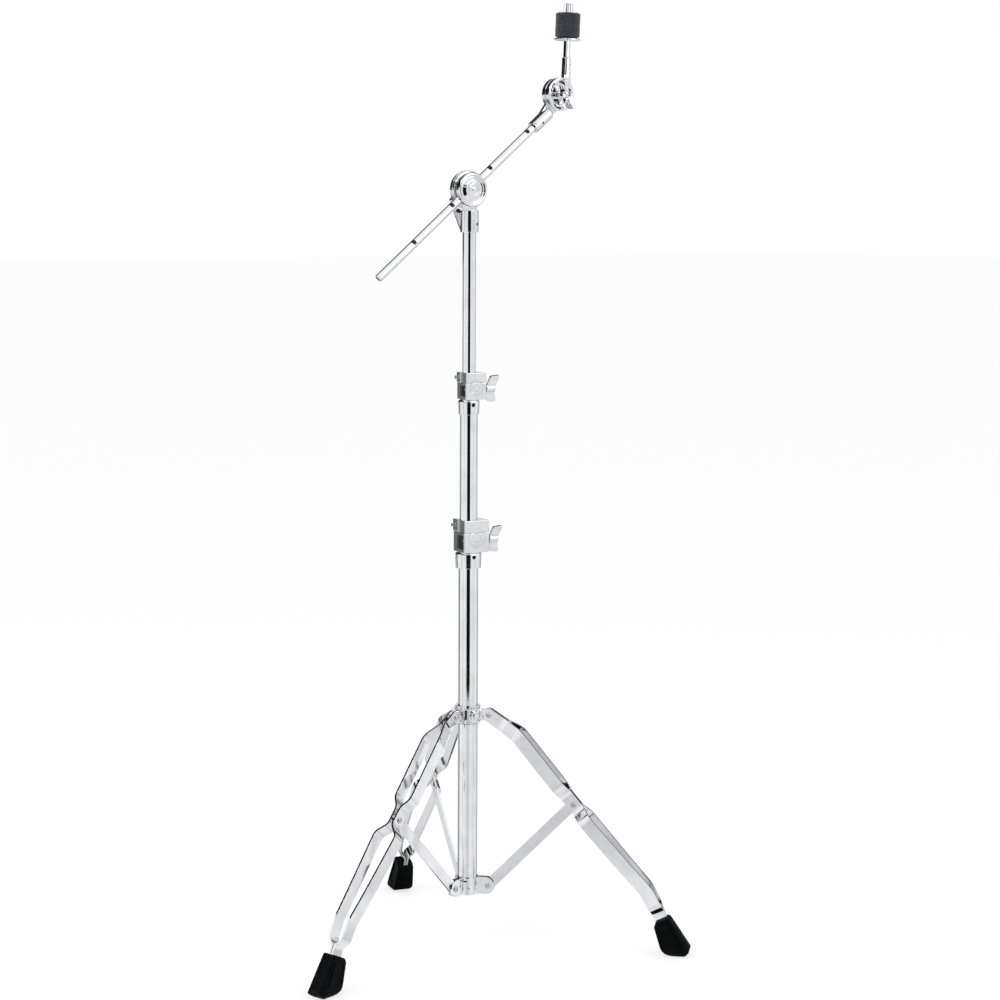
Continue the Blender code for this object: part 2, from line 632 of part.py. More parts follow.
def memory_lock(joint, frame, chrome, steel):
    """The memory lock: a back half with the hinge post and a front half that swings open."""
    name = joint["name"]
    x, y = joint["lock_x"], joint["lock_y"]
    z = (joint["split_z"], joint["top_z"])
    bore_r = joint["inner_tube_r"] + GAP
    bore = cylinder(f"{name}_lock_bore", bore_r, z[0] - CUT, z[1] + CUT, None, frame, TUBE_SIDES)
    post_x = x[0] - 0.1 * MM
    middle = (z[0] + z[1]) / 2
    knuckle = (z[1] - z[0]) / 6
    back = box(f"{name}_lock_back", x, (GAP / 2, y[1]), z, chrome, frame)
    bevel(back, 0.8 * MM)
    front = box(f"{name}_lock_front", x, (y[0], -GAP / 2), z, chrome, frame)
    bevel(front, 0.8 * MM)
    lug = knuckle + GAP

    def pin(label, radius, low, high):
        return cylinder(f"{name}_{label}", radius, low, high, None, frame, 12, at=(post_x, 0, 0))

    clear = pin("hinge_clearance", HINGE_R + GAP, middle - lug, middle + lug)
    upper_clear = pin("hinge_clearance_top", HINGE_R + GAP, middle + knuckle, z[1] + CUT)
    lower_clear = pin("hinge_clearance_bottom", HINGE_R + GAP, z[0] - CUT, middle - knuckle)
    post = pin("hinge_post", HINGE_R, middle - knuckle + SINK, middle + knuckle - SINK)
    top_knuckle = pin("knuckle_top", HINGE_R, middle + lug + SINK, z[1] - GAP)
    bottom_knuckle = pin("knuckle_bottom", HINGE_R, z[0] + GAP, middle - lug - SINK)
    boolean(back, upper_clear)
    boolean(back, lower_clear)
    boolean(back, post, "UNION")
    boolean(front, clear)
    boolean(front, top_knuckle, "UNION")
    boolean(front, bottom_knuckle, "UNION")
    boolean(back, bore)
    boolean(front, bore)
    key_y = y[1] - 3.6 * MM + 0.6 * MM
    key_r = 1.6 * MM
    key_hole = cylinder(f"{name}_key_hole", key_r + GAP, -8 * MM, 8 * MM, None, frame, 10,
                        at=(x[0], key_y, middle), turn=(0, 90, 0))
    boolean(back, key_hole)
    key = [(0, 7.5 * MM), (key_r, 7.5 * MM), (key_r, -GAP), (key_r * 1.5, -GAP), (key_r * 1.5, -3.6 * MM),
           (0, -3.6 * MM)]
    turned(f"{name}_lock_key_screw", key, steel, frame, 10, at=(x[0], key_y, middle), turn=(0, 90, 0))


def tube_joint(joint, stand, chrome, nylon, steel):
    frame = empty(f"{joint['name']}_clamp_frame", stand, turn=(0, 0, CLAMP_YAW))
    body = housing(joint, frame, chrome)
    clamp_fittings(joint, frame, body, chrome, nylon, steel)
    memory_lock(joint, frame, chrome, steel)


# ---------------------------------------------------------------- boom

def grooved_edge(radius, front, back, groove):
    """Profile of a disc's rim from front to back, with one groove round it."""
    middle = (front + back) / 2
    return [(radius, front), (radius, middle + groove), (radius - groove, middle + groove / 2),
            (radius - groove, middle - groove / 2), (radius, middle - groove), (radius, back)]


def boom_bracket(stand, material):
    """The bracket on the upper tube: a socket, a rear plate that flares up, and a disc."""
    low, high = SOCKET_Z
    profile = [(0, high), (SOCKET_R, high), (SOCKET_R, low + MM), (SOCKET_R - 0.6 * MM, low), (0, low)]
    body = turned("boom_bracket", profile, material, stand, TUBE_SIDES)
    near, far = BRACKET_DISC_Y
    outline = [(-8 * MM, low + 4 * MM), (8 * MM, low + 4 * MM), (21 * MM, high + 2 * MM),
               (21 * MM, high + 9 * MM), (-21 * MM, high + 9 * MM), (-21 * MM, high + 2 * MM)]
    flare = plate("bracket_flare", outline, far - near, None, stand, at=(0, (near + far) / 2, 0),
                  turn=(90, 0, 0))
    boolean(body, flare, "UNION")
    disc_profile = [(0, far)] + grooved_edge(BOOM_DISC_R - 1.5 * MM, far, near, 0.9 * MM) + [(0, near)]
    disc = turned("bracket_disc", disc_profile, None, stand, 26, at=(0, 0, BOOM_PIVOT_Z), turn=(-90, 0, 0))
    boolean(body, disc, "UNION")
    bolt_hole = cylinder("bracket_bolt_hole", EYE_BOLT_R + GAP, 0, 20 * MM, None, stand, 12,
                         at=(0, 0, BOOM_PIVOT_Z), turn=(-90, 0, 0))
    boolean(body, bolt_hole)
    socket = cylinder("bracket_socket_bore", UPPER_TUBE_R + GAP, low - CUT, UPPER_TUBE_Z[1] + GAP, None,
                      stand, TUBE_SIDES)
    boolean(body, socket)
    hole = cylinder("bracket_set_screw_hole", 2.2 * MM, UPPER_TUBE_R - CUT, SOCKET_R + CUT, None, stand, 10,
                    at=(0, 0, low + 11.5 * MM), turn=(0, 90, -68))
    boolean(body, hole)


def boom_clamp(frame, chrome, steel):
    """The two halves that grip the rod, the eye bolt round it and the wing nut at the back."""
    groove = cylinder("boom_rod_groove", BOOM_ROD_R + GAP, -60 * MM, 60 * MM, None, frame, 20,
                      turn=(0, 90, 0))
    eye_front = 8.0 * MM
    eye_pocket = cylinder("eye_pocket", EYE_R + GAP, -10 * MM, eye_front + GAP, None, frame, 16,
                          turn=(90, 0, 0))
    rim = grooved_edge(BOOM_DISC_R, BOOM_CLAMP_Y, GAP, 1.1 * MM)
    rear_profile = [(0, BOOM_CLAMP_Y)] + rim + [(0, GAP)]
    rear = turned("boom_clamp_rear", rear_profile, chrome, frame, 26, turn=(-90, 0, 0))
    boolean(rear, groove)
    boolean(rear, eye_pocket)
    cap_profile = [(r * MM, y * MM) for r, y in BOOM_CAP_FACE] + [(BOOM_CAP_R, GAP), (0, GAP)]
    cap = turned("boom_clamp_cap", cap_profile, chrome, frame, 26, turn=(90, 0, 0))
    boolean(cap, groove)
    boolean(cap, eye_pocket)
    end = 27.0 * MM
    shoulder = BOOM_CLAMP_Y - GAP
    eye_profile = [(0, end), (EYE_BOLT_R * 0.85, end), (EYE_BOLT_R, end - MM), (EYE_BOLT_R, shoulder),
                   (EYE_R, shoulder), (EYE_R, -eye_front), (0, -eye_front)]
    eye = turned("boom_eye_bolt", eye_profile, steel, frame, 16, turn=(-90, 0, 0))
    boolean(eye, groove)


def boom_rod(frame, material):
    start, end = BOOM_ROD_X
    profile = [(0, end), (BOOM_ROD_R - MM, end), (BOOM_ROD_R, end - MM), (BOOM_ROD_R, start + 1.6 * MM),
               (BOOM_ROD_R - 1.6 * MM, start), (0, start)]
    turned("boom_rod", profile, material, frame, 20, turn=(0, 90, 0))


def boom(stand, chrome, steel):
    boom_bracket(stand, chrome)
    pivot = empty("boom_pivot", stand, at=(0, 0, BOOM_PIVOT_Z))
    wing_nut("boom_wing_nut", EYE_BOLT_R + GAP, chrome, pivot, at=(0, BRACKET_DISC_Y[1] + GAP, 0),
             turn=(-90, 35, 0))
    frame = empty("boom_tilt_frame", pivot, turn=(0, -BOOM_TILT, 0))
    boom_clamp(frame, chrome, steel)
    boom_rod(frame, chrome)
    return frame


# ---------------------------------------------------------------- cymbal tilter

def tilter_disc(name, near, far, material, frame, turn):
    """One toothless disc of the tilter, with a groove round its rim."""
    profile = [(0, far), (TILTER_R - 1.2 * MM, far)] + grooved_edge(TILTER_R, far - 1.0 * MM, near, 0.9 * MM)
    profile.append((0, near))
    return turned(name, profile, material, frame, 24, turn=turn)


def lower_arm(boom_frame, hub, material):
    """The arm on the boom rod: a sleeve, a neck and the tilter's rear disc."""
    low, high = LOWER_SLEEVE_X
    body = tilter_disc("tilter_lower_arm", GAP / 2, TILTER_HALF, material, hub, (-90, 0, 0))
    sleeve_profile = [(0, high), (LOWER_SLEEVE_R - 1.5 * MM, high), (LOWER_SLEEVE_R, high - 1.5 * MM),
                      (LOWER_SLEEVE_R, low + MM), (LOWER_SLEEVE_R - MM, low), (0, low)]
    sleeve = turned("lower_sleeve", sleeve_profile, None, boom_frame, 20, turn=(0, 90, 0))
    flat = box("lower_sleeve_flat", (low - CUT, high + CUT), (-12 * MM, 12 * MM),
               (LOWER_SLEEVE_FLAT, 12 * MM), None, boom_frame)
    boolean(sleeve, flat)
    boolean(body, sleeve, "UNION")
    neck = [(high - 12 * MM, -7.5 * MM), (TILTER_X + 6 * MM, TILTER_Z - 20 * MM),
            (TILTER_X - 4 * MM, TILTER_Z + 6 * MM), (high - 12 * MM, 7.0 * MM)]
    web = plate("lower_arm_neck", neck, 6.0 * MM, None, boom_frame, at=(0, 4.4 * MM, 0), turn=(90, 0, 0))
    boolean(body, web, "UNION")
    bore = cylinder("lower_sleeve_bore", BOOM_ROD_R + GAP, low - CUT, BOOM_ROD_X[1] + GAP, None,
                    boom_frame, 20, turn=(0, 90, 0))
    boolean(body, bore)
    hole = cylinder("lower_sleeve_screw_hole", 1.9 * MM, BOOM_ROD_R, LOWER_SLEEVE_R + CUT, None,
                    boom_frame, 10, at=(low + 14 * MM, 0, 0), turn=(90 + 10, 0, 0))
    boolean(body, hole)
    bolt_hole = cylinder("lower_arm_bolt_hole", TILTER_BOLT_R + GAP, -30 * MM, 30 * MM, None, hub, 12,
                         turn=(90, 0, 0))
    boolean(body, bolt_hole)
    return bolt_hole


def upper_arm(hub, bolt_hole, material):
    """The arm under the cymbal rod: the tilter's front disc, a neck and a slim sleeve."""
    low, high = UPPER_SLEEVE_Z
    body = tilter_disc("tilter_upper_arm", GAP / 2, TILTER_HALF, material, hub, (90, 0, 0))
    sleeve_profile = [(0, high), (UPPER_SLEEVE_R - 0.8 * MM, high), (UPPER_SLEEVE_R, high - 0.8 * MM),
                      (UPPER_SLEEVE_R, low), (0, low)]
    sleeve = turned("upper_sleeve", sleeve_profile, None, hub, 18, at=(CYMBAL_ROD_OFFSET, 0, 0))
    boolean(body, sleeve, "UNION")
    neck = [(CYMBAL_ROD_OFFSET - 5.4 * MM, low + 4 * MM), (2 * MM, 12 * MM), (TILTER_R - 2.5 * MM, 4 * MM),
            (CYMBAL_ROD_OFFSET + 5.4 * MM, low + 4 * MM)]
    web = plate("upper_arm_neck", neck, 4.6 * MM, None, hub, at=(0, -3.2 * MM, 0), turn=(90, 0, 0))
    boolean(body, web, "UNION")
    bore = cylinder("upper_sleeve_bore", CYMBAL_ROD_R + GAP, CYMBAL_ROD_Z[0] - GAP, high + CUT, None, hub, 16,
                    at=(CYMBAL_ROD_OFFSET, 0, 0))
    boolean(body, bore)
    boolean(body, bolt_hole)


def tilter(boom_frame, chrome, steel):
    mount = empty("tilter_mount", boom_frame, at=(TILTER_X, 0, TILTER_Z))
    hub = empty("tilter_hub", mount, turn=(0, BOOM_TILT + CYMBAL_LEAN, 0))
    bolt_hole = lower_arm(boom_frame, hub, chrome)
    upper_arm(hub, bolt_hole, chrome)
    front = TILTER_HALF + 15.0 * MM
    back = -(TILTER_HALF + GAP)
    bolt = [(0, front), (TILTER_BOLT_R * 0.8, front), (TILTER_BOLT_R, front - MM), (TILTER_BOLT_R, back),
            (6.0 * MM, back), (5.4 * MM, back - 3.0 * MM), (0, back - 3.4 * MM)]
    turned("tilter_bolt", bolt, steel, hub, 12, turn=(90, 0, 0))
    wing_nut("tilter_wing_nut", TILTER_BOLT_R + GAP, chrome, hub, 1.08, at=(0, -TILTER_HALF - GAP, 0),
             turn=(90, -24, 0))
    return hub


def cymbal_seat(hub, chrome, plastic, felt):
    """The cymbal rod with its cup washer, sleeve, two felts and the wing nut on top."""
    axis = empty("cymbal_axis", hub, at=(CYMBAL_ROD_OFFSET, 0, 0))
    low, high = CYMBAL_ROD_Z
    rod = [(0, high), (THREAD_R - MM, high), (THREAD_R, high - MM), (THREAD_R, SHOULDER_Z),
           (CYMBAL_ROD_R, SHOULDER_Z), (CYMBAL_ROD_R, low), (0, low)]
    turned("cymbal_rod", rod, chrome, axis, 16)
    seat = SHOULDER_Z + GAP
    bend = 0.6 * WASHER_R
    washer = [(THREAD_R + GAP, seat + 1.6 * MM), (bend, seat + 1.0 * MM), (WASHER_R, seat - 1.6 * MM),
              (WASHER_R, seat - 2.8 * MM), (bend, seat - 0.6 * MM), (THREAD_R + GAP, seat)]
    turned("cup_washer", washer, chrome, axis, 22, hollow=True)
    base = seat + 1.6 * MM + GAP
    sleeve_r = THREAD_R + GAP + SLEEVE_WALL
    tube("cymbal_sleeve", sleeve_r, THREAD_R + GAP, base, base + 2 * FELT_HEIGHT + GAP, plastic, axis, 16)
    for number, name in enumerate(("lower_felt", "upper_felt")):
        bottom = base + number * (FELT_HEIGHT + GAP)
        top = bottom + FELT_HEIGHT
        pad = [(FELT_R - 0.8 * MM, top), (FELT_R, top - 0.8 * MM), (FELT_R, bottom + 0.8 * MM),
               (FELT_R - 0.8 * MM, bottom), (sleeve_r + GAP, bottom), (sleeve_r + GAP, top)]
        turned(name, pad, felt, axis, 22, hollow=True)
    top_nut(base + 2 * (FELT_HEIGHT + GAP) + GAP, axis, chrome)


def top_nut(seat, axis, material):
    """The broad wing nut over the felts."""
    flange = 14.0 * MM
    profile = [(0, 13.5 * MM), (5.6 * MM, 13.5 * MM), (6.8 * MM, 12.5 * MM), (6.8 * MM, 2.5 * MM),
               (flange, 1.6 * MM), (flange, 0), (0, 0)]
    nut = turned("cymbal_wing_nut", profile, material, axis, 20, at=(0, 0, seat), turn=(0, 0, -36))
    half = [(4.0, 1.0), (15.0, 1.0), (19.8, 3.4), (21.0, 9.0), (22.3, 17.0), (12.5, 17.2), (9.5, 12.6),
            (4.0, 12.6)]
    right = [(x * MM, z * MM) for x, z in half]
    outline = [(-x, z) for x, z in reversed(right)] + right
    wings = plate("cymbal_nut_wings", outline, 4.4 * MM, None, nut, turn=(90, 0, 0))
    bevel(wings, 0.8 * MM)
    boolean(nut, wings, "UNION")
    boolean(nut, cylinder("cymbal_nut_bore", THREAD_R + GAP, -CUT, 30 * MM, None, nut, 12))


def centre_footprint(stand):
    """Move the stand so that the origin is the middle of its footprint."""
    bpy.context.view_layer.update()
    graph = bpy.context.evaluated_depsgraph_get()
    points = []
    for obj in PARTS.objects:
        shape = obj.evaluated_get(graph)
        points += [shape.matrix_world @ Vector(corner) for corner in shape.bound_box]
    for axis in (0, 1):
        values = [point[axis] for point in points]
        stand.location[axis] = -(min(values) + max(values)) / 2


def main():
    global PARTS, CUTTERS
    clear_scene()
    PARTS = new_collection("cymbal_boom_stand")
    CUTTERS = new_collection("cutters")
    chrome = new_material("chrome", (0.86, 0.87, 0.88), 0.08, 1.0)
    steel = new_material("zinc_steel", (0.62, 0.63, 0.65), 0.25, 1.0)
    rubber = new_material("black_rubber", (0.015, 0.015, 0.017), 0.55)
    nylon = new_material("nylon", (0.08, 0.08, 0.085), 0.45)
    felt = new_material("charcoal_felt", (0.035, 0.038, 0.045), 0.95)

    stand = empty("stand")
    tripod(stand, chrome, rubber, steel)
    tube_joint(LOWER_JOINT, stand, chrome, nylon, steel)
    tube("middle_tube", MIDDLE_TUBE_R, MIDDLE_TUBE_R - TUBE_WALL, *MIDDLE_TUBE_Z, chrome, stand)
    tube_joint(UPPER_JOINT, stand, chrome, nylon, steel)
    tube("upper_tube", UPPER_TUBE_R, UPPER_TUBE_R - TUBE_WALL, *UPPER_TUBE_Z, chrome, stand)
    boom_frame = boom(stand, chrome, steel)
    hub = tilter(boom_frame, chrome, steel)
    cymbal_seat(hub, chrome, nylon, felt)
    centre_footprint(stand)


main()
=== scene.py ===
"""Looks of the cymbal boom stand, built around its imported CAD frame.

Every piece is made in its own local frame, at the size the CAD part has there, then baked into
the row frame and hung on its CAD body. Lengths are in metres unless a name says otherwise.
"""
import json
import math

import bmesh
import bpy
from mathutils import Euler, Matrix, Vector, noise


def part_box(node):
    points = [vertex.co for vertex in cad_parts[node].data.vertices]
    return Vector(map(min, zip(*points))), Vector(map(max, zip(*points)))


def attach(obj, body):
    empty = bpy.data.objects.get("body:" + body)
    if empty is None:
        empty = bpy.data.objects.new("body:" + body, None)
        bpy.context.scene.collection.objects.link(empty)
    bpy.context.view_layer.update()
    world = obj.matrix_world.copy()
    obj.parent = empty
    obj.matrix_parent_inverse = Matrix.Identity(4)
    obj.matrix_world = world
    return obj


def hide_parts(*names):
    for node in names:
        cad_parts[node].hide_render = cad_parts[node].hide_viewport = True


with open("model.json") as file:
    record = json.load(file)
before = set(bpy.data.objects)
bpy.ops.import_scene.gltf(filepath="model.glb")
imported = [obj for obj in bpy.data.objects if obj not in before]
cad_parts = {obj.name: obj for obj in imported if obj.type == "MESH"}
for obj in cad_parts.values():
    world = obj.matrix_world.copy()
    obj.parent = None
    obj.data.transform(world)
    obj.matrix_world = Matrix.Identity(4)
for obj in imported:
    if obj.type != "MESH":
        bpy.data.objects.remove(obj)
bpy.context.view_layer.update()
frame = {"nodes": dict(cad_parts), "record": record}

MM = 0.001
GAP = 0.3 * MM        # clearance between pieces that touch
CUT = 1.0 * MM        # how far a cutter runs past the face it cuts
TO_FRONT = (90, 0, 0)     # turns that lay a shape's Z axis along -Y, +Y or +X
TO_BACK = (-90, 0, 0)
TO_RIGHT = (0, 90, 0)


def mm(*values):
    return tuple(value * MM for value in values)


def both(value):
    """Millimetre limits at the same distance on both sides of zero."""
    return mm(-value, value)


# ---------------------------------------------------------------- frames of the stand

def placed(within, at=(0, 0, 0), turn=(0, 0, 0)):
    """A frame inside another; turn is in degrees about x, y and z."""
    spin = Euler([math.radians(a) for a in turn]).to_matrix().to_4x4()
    return within @ Matrix.Translation(at) @ spin


tube_low, tube_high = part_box("base_tube")
STAND = Matrix.Translation(((tube_low[0] + tube_high[0]) / 2, (tube_low[1] + tube_high[1]) / 2, 0))
LEG_AZIMUTHS = (-46.5, 73.5, 193.5)
VIEW_AZIMUTH = -127.0        # direction from the column towards the camera
CLAMP = placed(STAND, turn=(0, 0, -10.5))
BOOM_TILT = 38.1
CYMBAL_LEAN = 2.6
PIVOT = placed(STAND, at=mm(0, 0, 1096))
BOOM = placed(PIVOT, turn=(0, -BOOM_TILT, 0))
HUB = placed(BOOM, at=(210 * MM, 0, 10 * MM), turn=(0, BOOM_TILT + CYMBAL_LEAN, 0))
AXIS = placed(HUB, at=mm(13, 0, 0))


# ---------------------------------------------------------------- materials

def node(tree, kind, links=None, **values):
    """A shader node; links feeds its inputs, and names that start with in_ set input values."""
    made = tree.nodes.new("ShaderNode" + kind)
    for key, value in values.items():
        if key.startswith("in_"):
            made.inputs[key[3:].replace("_", " ")].default_value = value
        else:
            setattr(made, key, value)
    for socket, output in (links or {}).items():
        tree.links.new(output, made.inputs[socket])
    return made


def ramp(tree, source, stops):
    """A colour ramp from a 0..1 value; stops are (position, (r, g, b))."""
    made = node(tree, "ValToRGB", {"Fac": source})
    elements = made.color_ramp.elements
    while len(elements) < len(stops):
        elements.new(0.5)
    for element, (position, colour) in zip(elements, stops):
        element.position = position
        element.color = (*colour, 1)
    return made.outputs["Color"]


def scaled_noise(tree, scale, detail=3.0, roughness=0.5, stretch=(1, 1, 1)):
    """Noise over object space, in features per metre, stretched along the axes."""
    place = node(tree, "TexCoord").outputs["Object"]
    shift = node(tree, "Mapping", {"Vector": place}, in_Scale=stretch).outputs["Vector"]
    made = node(tree, "TexNoise", {"Vector": shift}, in_Scale=scale, in_Detail=detail,
            in_Roughness=roughness)
    return made.outputs["Fac"]


def ranged(tree, source, from_low, from_high, to_low=0.0, to_high=1.0):
    """A value moved from one range to another, and kept within it."""
    made = node(tree, "MapRange", {"Value": source}, in_From_Min=from_low, in_From_Max=from_high,
            in_To_Min=to_low, in_To_Max=to_high)
    return made.outputs["Result"]


def spread(tree, source, low, high):
    """A noise value moved from its usual 0.3..0.7 to low..high."""
    return ranged(tree, source, 0.3, 0.7, low, high)


def bump(tree, shader, height, strength, distance):
    made = node(tree, "Bump", {"Height": height}, in_Strength=strength, in_Distance=distance)
    tree.links.new(made.outputs["Normal"], shader.inputs["Normal"])


def new_material(name, **constants):
    """A material and its tree and shader; constants go on the shader's own sockets."""
    material = bpy.data.materials.new(name)
    material.use_nodes = True
    tree = material.node_tree
    shader = tree.nodes["Principled BSDF"]
    for key, value in constants.items():
        shader.inputs[key.replace("_", " ")].default_value = value
    return material, tree, shader


def metal(name, dark, light, low, high, grain=900.0, depth=0.00001):
    """Plated metal: a faint patchy tone, smears in its roughness and a very fine ripple."""
    material, tree, shader = new_material(name, Metallic=1.0)
    patches = scaled_noise(tree, 38.0, 4.0, 0.55)
    tree.links.new(ramp(tree, patches, [(0.35, dark), (0.62, light)]), shader.inputs["Base Color"])
    smears = scaled_noise(tree, 130.0, 5.0, 0.62, (1, 1, 0.35))
    tree.links.new(spread(tree, smears, low, high), shader.inputs["Roughness"])
    bump(tree, shader, scaled_noise(tree, grain, 2.0), 0.06, depth)
    return material


def make_rubber():
    """Moulded rubber: dusty in patches, with a fine leathery grain."""
    material, tree, shader = new_material("black_rubber", Specular_IOR_Level=0.06)
    dust = scaled_noise(tree, 90.0, 6.0, 0.65)
    tree.links.new(ramp(tree, dust, [(0.40, (0.0006, 0.0008, 0.0010)), (0.72, (0.0022, 0.0028, 0.0034))]),
            shader.inputs["Base Color"])
    tree.links.new(spread(tree, dust, 0.42, 0.62), shader.inputs["Roughness"])
    bump(tree, shader, scaled_noise(tree, 1500.0, 3.0, 0.6), 0.35, 0.0002)
    return material


def make_felt():
    """Dense wool felt: matted fibres in a dark blue-grey, with a soft edge sheen."""
    material, tree, shader = new_material("charcoal_felt", Roughness=0.95, Specular_IOR_Level=0.12,
            Sheen_Weight=0.25, Sheen_Roughness=0.5)
    fibres = scaled_noise(tree, 420.0, 9.0, 0.78, (1, 1, 2.0))
    tree.links.new(ramp(tree, fibres, [(0.36, (0.006, 0.008, 0.011)), (0.52, (0.024, 0.028, 0.036)),
            (0.66, (0.100, 0.108, 0.125))]), shader.inputs["Base Color"])
    bump(tree, shader, fibres, 0.8, 0.0006)
    return material


def make_dark(name, colour, roughness):
    """The shaded bottom of a hole, or a black index band, with a trace of tone."""
    material, tree, shader = new_material(name, Specular_IOR_Level=0.3)
    tone = scaled_noise(tree, 400.0, 4.0)
    lighter = tuple(c * 2.2 + 0.002 for c in colour)
    tree.links.new(ramp(tree, tone, [(0.4, colour), (0.7, lighter)]), shader.inputs["Base Color"])
    tree.links.new(spread(tree, tone, roughness, roughness + 0.12), shader.inputs["Roughness"])
    return material


CHROME = metal("chrome", (0.80, 0.81, 0.83), (0.90, 0.91, 0.92), 0.035, 0.075)
CAST = metal("chrome_casting", (0.78, 0.79, 0.81), (0.88, 0.89, 0.90), 0.06, 0.12, 500.0, 0.00003)
STEEL = metal("zinc_steel", (0.50, 0.51, 0.53), (0.66, 0.67, 0.69), 0.16, 0.30)
RUBBER = make_rubber()
FELT = make_felt()
NYLON = make_dark("black_nylon", (0.020, 0.020, 0.022), 0.38)
# The second dark material: the black of index bands and set screws, and also painted shade on the floors of
# pockets, recesses and slots.
BLACK_AND_SHADE = make_dark("black_band_and_painted_shade", (0.004, 0.004, 0.005), 0.30)


# ---------------------------------------------------------------- shape tools

def linked(name, data):
    """A new object in the scene."""
    obj = bpy.data.objects.new(name, data)
    bpy.context.scene.collection.objects.link(obj)
    return obj


def temp(mesh, at, turn, within):
    obj = linked("temp", mesh)
    obj.matrix_world = placed(within, at, turn)
    return obj


def evaluated(obj):
    """The object's final mesh, in its own space."""
    bpy.context.view_layer.update()
    graph = bpy.context.evaluated_depsgraph_get()
    return bpy.data.meshes.new_from_object(obj.evaluated_get(graph))


def baked(obj):
    """The object with its modifiers made part of its mesh."""
    obj.data = evaluated(obj)
    obj.modifiers.clear()
    return obj


def welded(mesh, distance=2e-7):
    form = bmesh.new()
    form.from_mesh(mesh)
    bmesh.ops.remove_doubles(form, verts=form.verts, dist=distance)
    bmesh.ops.recalc_face_normals(form, faces=form.faces)
    form.to_mesh(mesh)
    form.free()
    return mesh


def softened(profile, fillet, closed):
    """A profile with each corner rounded by up to fillet; end points of an open one stay."""
    points = [Vector(p) for p in profile]
    count = len(points)
    result = []
    for i, corner in enumerate(points):
        if not closed and i in (0, count - 1):
            result.append(corner)
            continue
        before = points[i - 1] - corner
        after = points[(i + 1) % count] - corner
        reach = min(fillet, before.length * 0.45, after.length * 0.45)
        if before.angle(after, math.pi) > math.radians(165) or reach < 1e-6:
            result.append(corner)
            continue
        start = corner + before.normalized() * reach
        stop = corner + after.normalized() * reach
        for t in (0.0, 0.25, 0.5, 0.75, 1.0):
            result.append(start * (1 - t) ** 2 + corner * 2 * t * (1 - t) + stop * t ** 2)
    return result


def turned(profile, within, sides=64, hollow=False, fillet=0.4 * MM, at=(0, 0, 0), turn=(0, 0, 0)):
    """A turned body; profile is (radius, height), and hollow closes its loop."""
    points = softened(profile, fillet, hollow)
    loop = range(len(points) if hollow else len(points) - 1)
    mesh = bpy.data.meshes.new("turned")
    mesh.from_pydata([(p.x, 0, p.y) for p in points], [(i, (i + 1) % len(points)) for i in loop], [])
    source = temp(mesh, (0, 0, 0), (0, 0, 0), Matrix.Identity(4))
    screw = source.modifiers.new("Turn", "SCREW")
    screw.steps = sides
    screw.render_steps = sides
    screw.use_merge_vertices = True
    screw.merge_threshold = 0.000001
    body = welded(evaluated(source))
    bpy.data.objects.remove(source)
    return temp(body, at, turn, within)


def rod(radius, low, high, within, sides=48, fillet=0.4 * MM, **place):
    return turned([(0, high), (radius, high), (radius, low), (0, low)], within, sides, False, fillet,
            **place)


def block(x, y, z, within, edge=0.0, segments=3, **place):
    """A block between two limits along each axis, with rounded edges."""
    form = bmesh.new()
    bmesh.ops.create_cube(form, size=1.0)
    size = Vector((x[1] - x[0], y[1] - y[0], z[1] - z[0]))
    centre = Vector((x[0] + x[1], y[0] + y[1], z[0] + z[1])) / 2
    for vert in form.verts:
        vert.co = Vector([a * b for a, b in zip(vert.co, size)]) + centre
    if edge:
        bmesh.ops.bevel(form, geom=form.edges[:], offset=edge, segments=segments, profile=0.5,
                affect="EDGES")
    mesh = bpy.data.meshes.new("block")
    form.to_mesh(mesh)
    form.free()
    return temp(mesh, place.get("at", (0, 0, 0)), place.get("turn", (0, 0, 0)), within)


def plate(outline, thickness, within, holes=(), edge=0.0, segments=2, at=(0, 0, 0), turn=(0, 0, 0)):
    """A flat plate in its own XY plane, with its thickness shared along Z and rounded edges."""
    curve = bpy.data.curves.new("plate", "CURVE")
    curve.dimensions = "2D"
    curve.fill_mode = "BOTH"
    curve.extrude = thickness / 2
    for loop in (outline, *holes):
        spline = curve.splines.new("POLY")
        spline.points.add(len(loop) - 1)
        for point, (x, y) in zip(spline.points, loop):
            point.co = (x, y, 0, 1)
        spline.use_cyclic_u = True
    source = linked("plate_source", curve)
    mesh = welded(evaluated(source), 1e-6)
    bpy.data.objects.remove(source)
    flat = temp(mesh, at, turn, within)
    if edge:
        rounded(flat, edge, segments)
    return flat


def rounded(obj, width, segments=2, angle=40):
    """Rounds the edges sharper than angle."""
    modifier = obj.modifiers.new("Edges", "BEVEL")
    modifier.width = width
    modifier.segments = segments
    modifier.limit_method = "ANGLE"
    modifier.angle_limit = math.radians(angle)
    modifier.use_clamp_overlap = True


def combine(target, tools, operation):
    """Booleans one after another, with the tools then thrown away."""
    for tool in tools:
        if tool.modifiers:
            baked(tool)
        modifier = target.modifiers.new("Combine", "BOOLEAN")
        modifier.operation = operation
        modifier.solver = "EXACT"
        modifier.object = tool
    baked(target)
    for tool in tools:
        bpy.data.objects.remove(tool)
    return target


def cut(target, *tools):
    return combine(target, tools, "DIFFERENCE")


def cut_each(target, *tools):
    """Cuts with one tool after another, with the mesh made whole in between."""
    for tool in tools:
        cut(target, tool)


def fuse(target, *tools):
    return combine(target, tools, "UNION")


def cast(obj, voxel=0.45 * MM, rounds=6):
    """Melts an object's creases together, as in a casting."""
    remesh = obj.modifiers.new("Remesh", "REMESH")
    remesh.mode = "VOXEL"
    remesh.voxel_size = voxel
    smooth = obj.modifiers.new("Smooth", "SMOOTH")
    smooth.factor = 0.5
    smooth.iterations = rounds
    return baked(obj)


